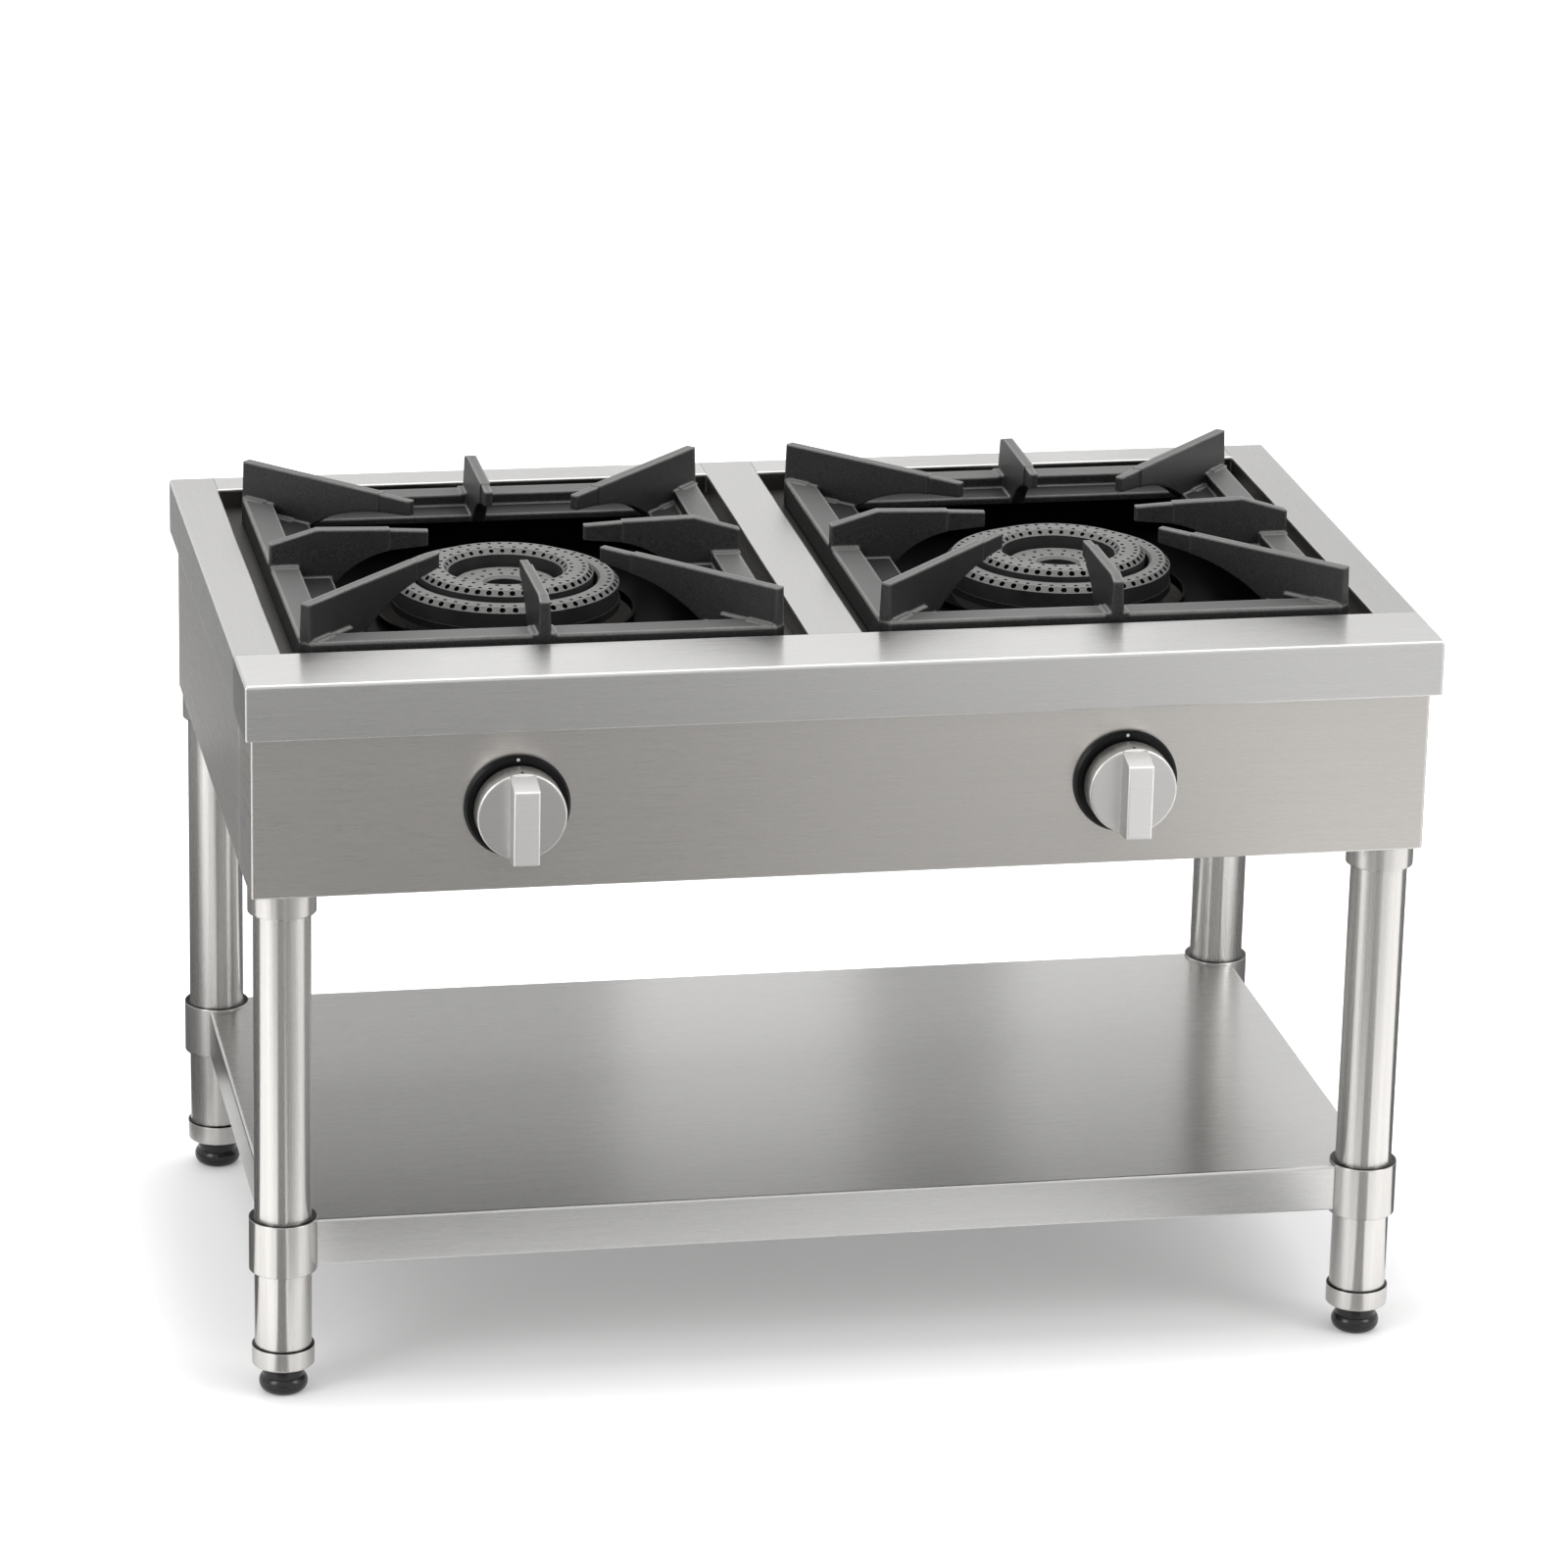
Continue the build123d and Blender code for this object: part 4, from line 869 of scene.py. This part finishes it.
def make_floor_paint():
    """Pale paint that keeps the object's shadow: the camera and reflections get a little light of its
    own added, less between the legs and more in the open floor. The amount follows the distance from
    the legs' rectangle, the square root of the two squared distances past it."""
    material, n, links, shader = new_material("floor_paint")
    shader.inputs["Base Color"].default_value = (FLOOR_GREY, FLOOR_GREY, FLOOR_GREY, 1.0)
    shader.inputs["Roughness"].default_value = 0.9
    shader.inputs["Specular IOR Level"].default_value = 0.0
    shader.inputs["Emission Color"].default_value = (1, 1, 1, 1)
    place = split_xyz(n, links, texture_place(n))
    low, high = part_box("front_right_leg")
    squares = []
    for axis, half in (("X", high.x), ("Y", -high.y)):
        away = math_node(n, links, "SUBTRACT", math_node(n, links, "ABSOLUTE", place[axis]), half)
        away = math_node(n, links, "MAXIMUM", away, 0.0)
        squares.append(math_node(n, links, "MULTIPLY", away, away))
    distance = math_node(n, links, "SQRT", math_node(n, links, "ADD", *squares))
    lit = n.new("ShaderNodeMapRange")
    lit.interpolation_type = "SMOOTHSTEP"
    lit.inputs["From Max"].default_value = FLOOR_FADE
    lit.inputs["To Min"].default_value = FLOOR_SHADE
    lit.inputs["To Max"].default_value = FLOOR_OPEN
    links.new(distance, lit.inputs["Value"])
    strength = math_node(n, links, "MULTIPLY", reflected_or_seen(n, links), lit.outputs[0])
    links.new(strength, shader.inputs["Emission Strength"])
    return material


def make_sheet(name, corners):
    """A flat four-cornered sheet."""
    mesh = bpy.data.meshes.new(name)
    mesh.from_pydata(corners, [], [(0, 1, 2, 3)])
    sheet = bpy.data.objects.new(name, mesh)
    scene.collection.objects.link(sheet)
    return sheet


floor = make_sheet("floor", [(-FLOOR_REACH, -FLOOR_REACH, 0), (FLOOR_REACH, -FLOOR_REACH, 0),
                             (FLOOR_REACH, FLOOR_REACH, 0), (-FLOOR_REACH, FLOOR_REACH, 0)])
floor.data.materials.append(make_floor_paint())


def add_flag(name, corners, grey, far_grey=None):
    """A grey card, as photographers set round polished metal: only reflections see it. It may be
    graded from one grey at its left edge to another at its right."""
    flag = make_sheet(name, corners)
    material, n, links, shader = new_material(name)
    shader.inputs["Base Color"].default_value = (0, 0, 0, 1)
    shader.inputs["Specular IOR Level"].default_value = 0.0
    shader.inputs["Emission Color"].default_value = (1, 1, 1, 1)
    shader.inputs["Emission Strength"].default_value = grey
    if far_grey is not None:
        across = split_xyz(n, links, texture_place(n))["X"]
        graded = map_range(n, links, across, grey, far_grey, corners[0][0], corners[1][0])
        links.new(graded, shader.inputs["Emission Strength"])
    flag.data.materials.append(material)
    flag.visible_camera = False
    flag.visible_diffuse = False
    flag.visible_shadow = False
    flag.visible_transmission = False


FLAG_HEIGHT, LEG_FLAG_HEIGHT = 0.002, 0.003
LEG_FLAG_START, LEG_FLAG_END, LEG_FLAG_HALF, LEG_FLAG_WIDENS = 0.05, 0.75, 0.012, 0.24
AZIMUTH = radians(-11.21)


def add_floor_flag(name, x0, x1, y0, y1, grey, far_grey=None, slope=0.0):
    """A card that lies on the floor; its front edge may run back by the slope on the way to the left
    or, where the slope is negative, to the right."""
    outline = ((x0, y0 + max(slope, 0.0)), (x1, y0 + max(-slope, 0.0)), (x1, y1), (x0, y1))
    add_flag(name, [(x, y, FLAG_HEIGHT) for x, y in outline], grey, far_grey)


def add_leg_flag(leg, grey):
    """A card that widens away from a leg towards the camera and gives the tube its dark middle."""
    low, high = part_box(leg)
    foot = Vector(((low.x + high.x) / 2, (low.y + high.y) / 2, LEG_FLAG_HEIGHT))
    towards = Vector((sin(AZIMUTH), -cos(AZIMUTH), 0))
    sideways = Vector((cos(AZIMUTH), sin(AZIMUTH), 0))
    corners = []
    for distance, side in ((LEG_FLAG_END, -1), (LEG_FLAG_END, 1), (LEG_FLAG_START, 1), (LEG_FLAG_START, -1)):
        half = LEG_FLAG_HALF + LEG_FLAG_WIDENS * distance
        corners.append(tuple(foot + towards * distance + sideways * side * half))
    add_flag(f"{leg}_flag", corners, grey)


def add_back_flag(name, x0, x1, z0, z1, grey, y=1.6):
    """A card that stands behind the range."""
    add_flag(name, [(x0, y, z0), (x1, y, z0), (x1, y, z1), (x0, y, z1)], grey)


# The folds and the apron look down at the floor in front, darker to the left and paler to the right.
ROW_LEFT, ROW_DARK_END, ROW_PALE_START, ROW_RIGHT = -2.4, 0.08, 0.78, 2.6
ROWS = (("far", -3.4, -1.95, 0.06, 0.72), ("middle", -1.95, -0.95, 0.28, 0.90))
for row, y0, y1, dark_grey, pale_grey in ROWS:
    add_floor_flag(f"{row}_left_flag", ROW_LEFT, ROW_DARK_END, y0, y1, dark_grey)
    add_floor_flag(f"{row}_graded_flag", ROW_DARK_END, ROW_PALE_START, y0, y1, dark_grey, pale_grey)
    add_floor_flag(f"{row}_right_flag", ROW_PALE_START, ROW_RIGHT, y0, y1, pale_grey)
add_floor_flag("near_flag", -0.40, 0.36, -0.95, -0.50, 0.18, 1.0)
add_leg_flag("front_left_leg", 0.24)
add_leg_flag("front_right_leg", 0.34)
add_floor_flag("left_near_flag", -2.6, -0.54, -0.16, 0.80, 0.10, slope=0.35)
add_floor_flag("left_flag", -2.6, -0.60, 0.80, 3.5, 0.20)
add_floor_flag("right_near_flag", 0.54, 2.6, -0.16, 0.90, 0.12, slope=-0.12)
add_floor_flag("right_flag", 0.85, 2.6, 0.90, 3.5, 0.16)
add_floor_flag("behind_flag", -0.58, 0.62, 0.45, 1.40, 0.14)
add_back_flag("back_left_flag", -0.7, 0.13, 0.42, 0.88, 0.10)
add_back_flag("back_right_flag", 0.41, 0.58, 0.42, 0.88, 0.10)
add_back_flag("rail_flag", 0.70, 1.4, 0.98, 1.5, 0.76)

WORLD_LIGHT, WORLD_SEEN = 0.66, 1.0
world = bpy.data.worlds.new("surround")
world.use_nodes = True
world_nodes, world_links = world.node_tree.nodes, world.node_tree.links
background = world_nodes["Background"]
background.inputs["Color"].default_value = (1, 1, 1, 1)
world_strength = map_range(world_nodes, world_links, reflected_or_seen(world_nodes, world_links),
                           WORLD_LIGHT, WORLD_SEEN)
world_links.new(world_strength, background.inputs["Strength"])
scene.world = world

LENS, SENSOR = 152.28, 36.0
CAMERA_TARGET = Vector((0.00684, 0.02348, 0.42144))
CAMERA_DISTANCE = 5.7834
ELEVATION, ROLL = radians(18.83), radians(-1.295)
back = Vector((sin(AZIMUTH) * cos(ELEVATION), -cos(AZIMUTH) * cos(ELEVATION), sin(ELEVATION)))
level_right = Vector((cos(AZIMUTH), sin(AZIMUTH), 0))
level_up = back.cross(level_right)
camera_right = cos(ROLL) * level_right - sin(ROLL) * level_up
camera_up = sin(ROLL) * level_right + cos(ROLL) * level_up
camera_data = bpy.data.cameras.new("camera")
camera_data.lens, camera_data.sensor_width = LENS, SENSOR
camera = bpy.data.objects.new("camera", camera_data)
placing = Matrix((camera_right, camera_up, back)).transposed().to_4x4()
placing.translation = CAMERA_TARGET + CAMERA_DISTANCE * back
camera.matrix_world = placing
scene.collection.objects.link(camera)
scene.camera = camera
scene.view_settings.view_transform = "Standard"
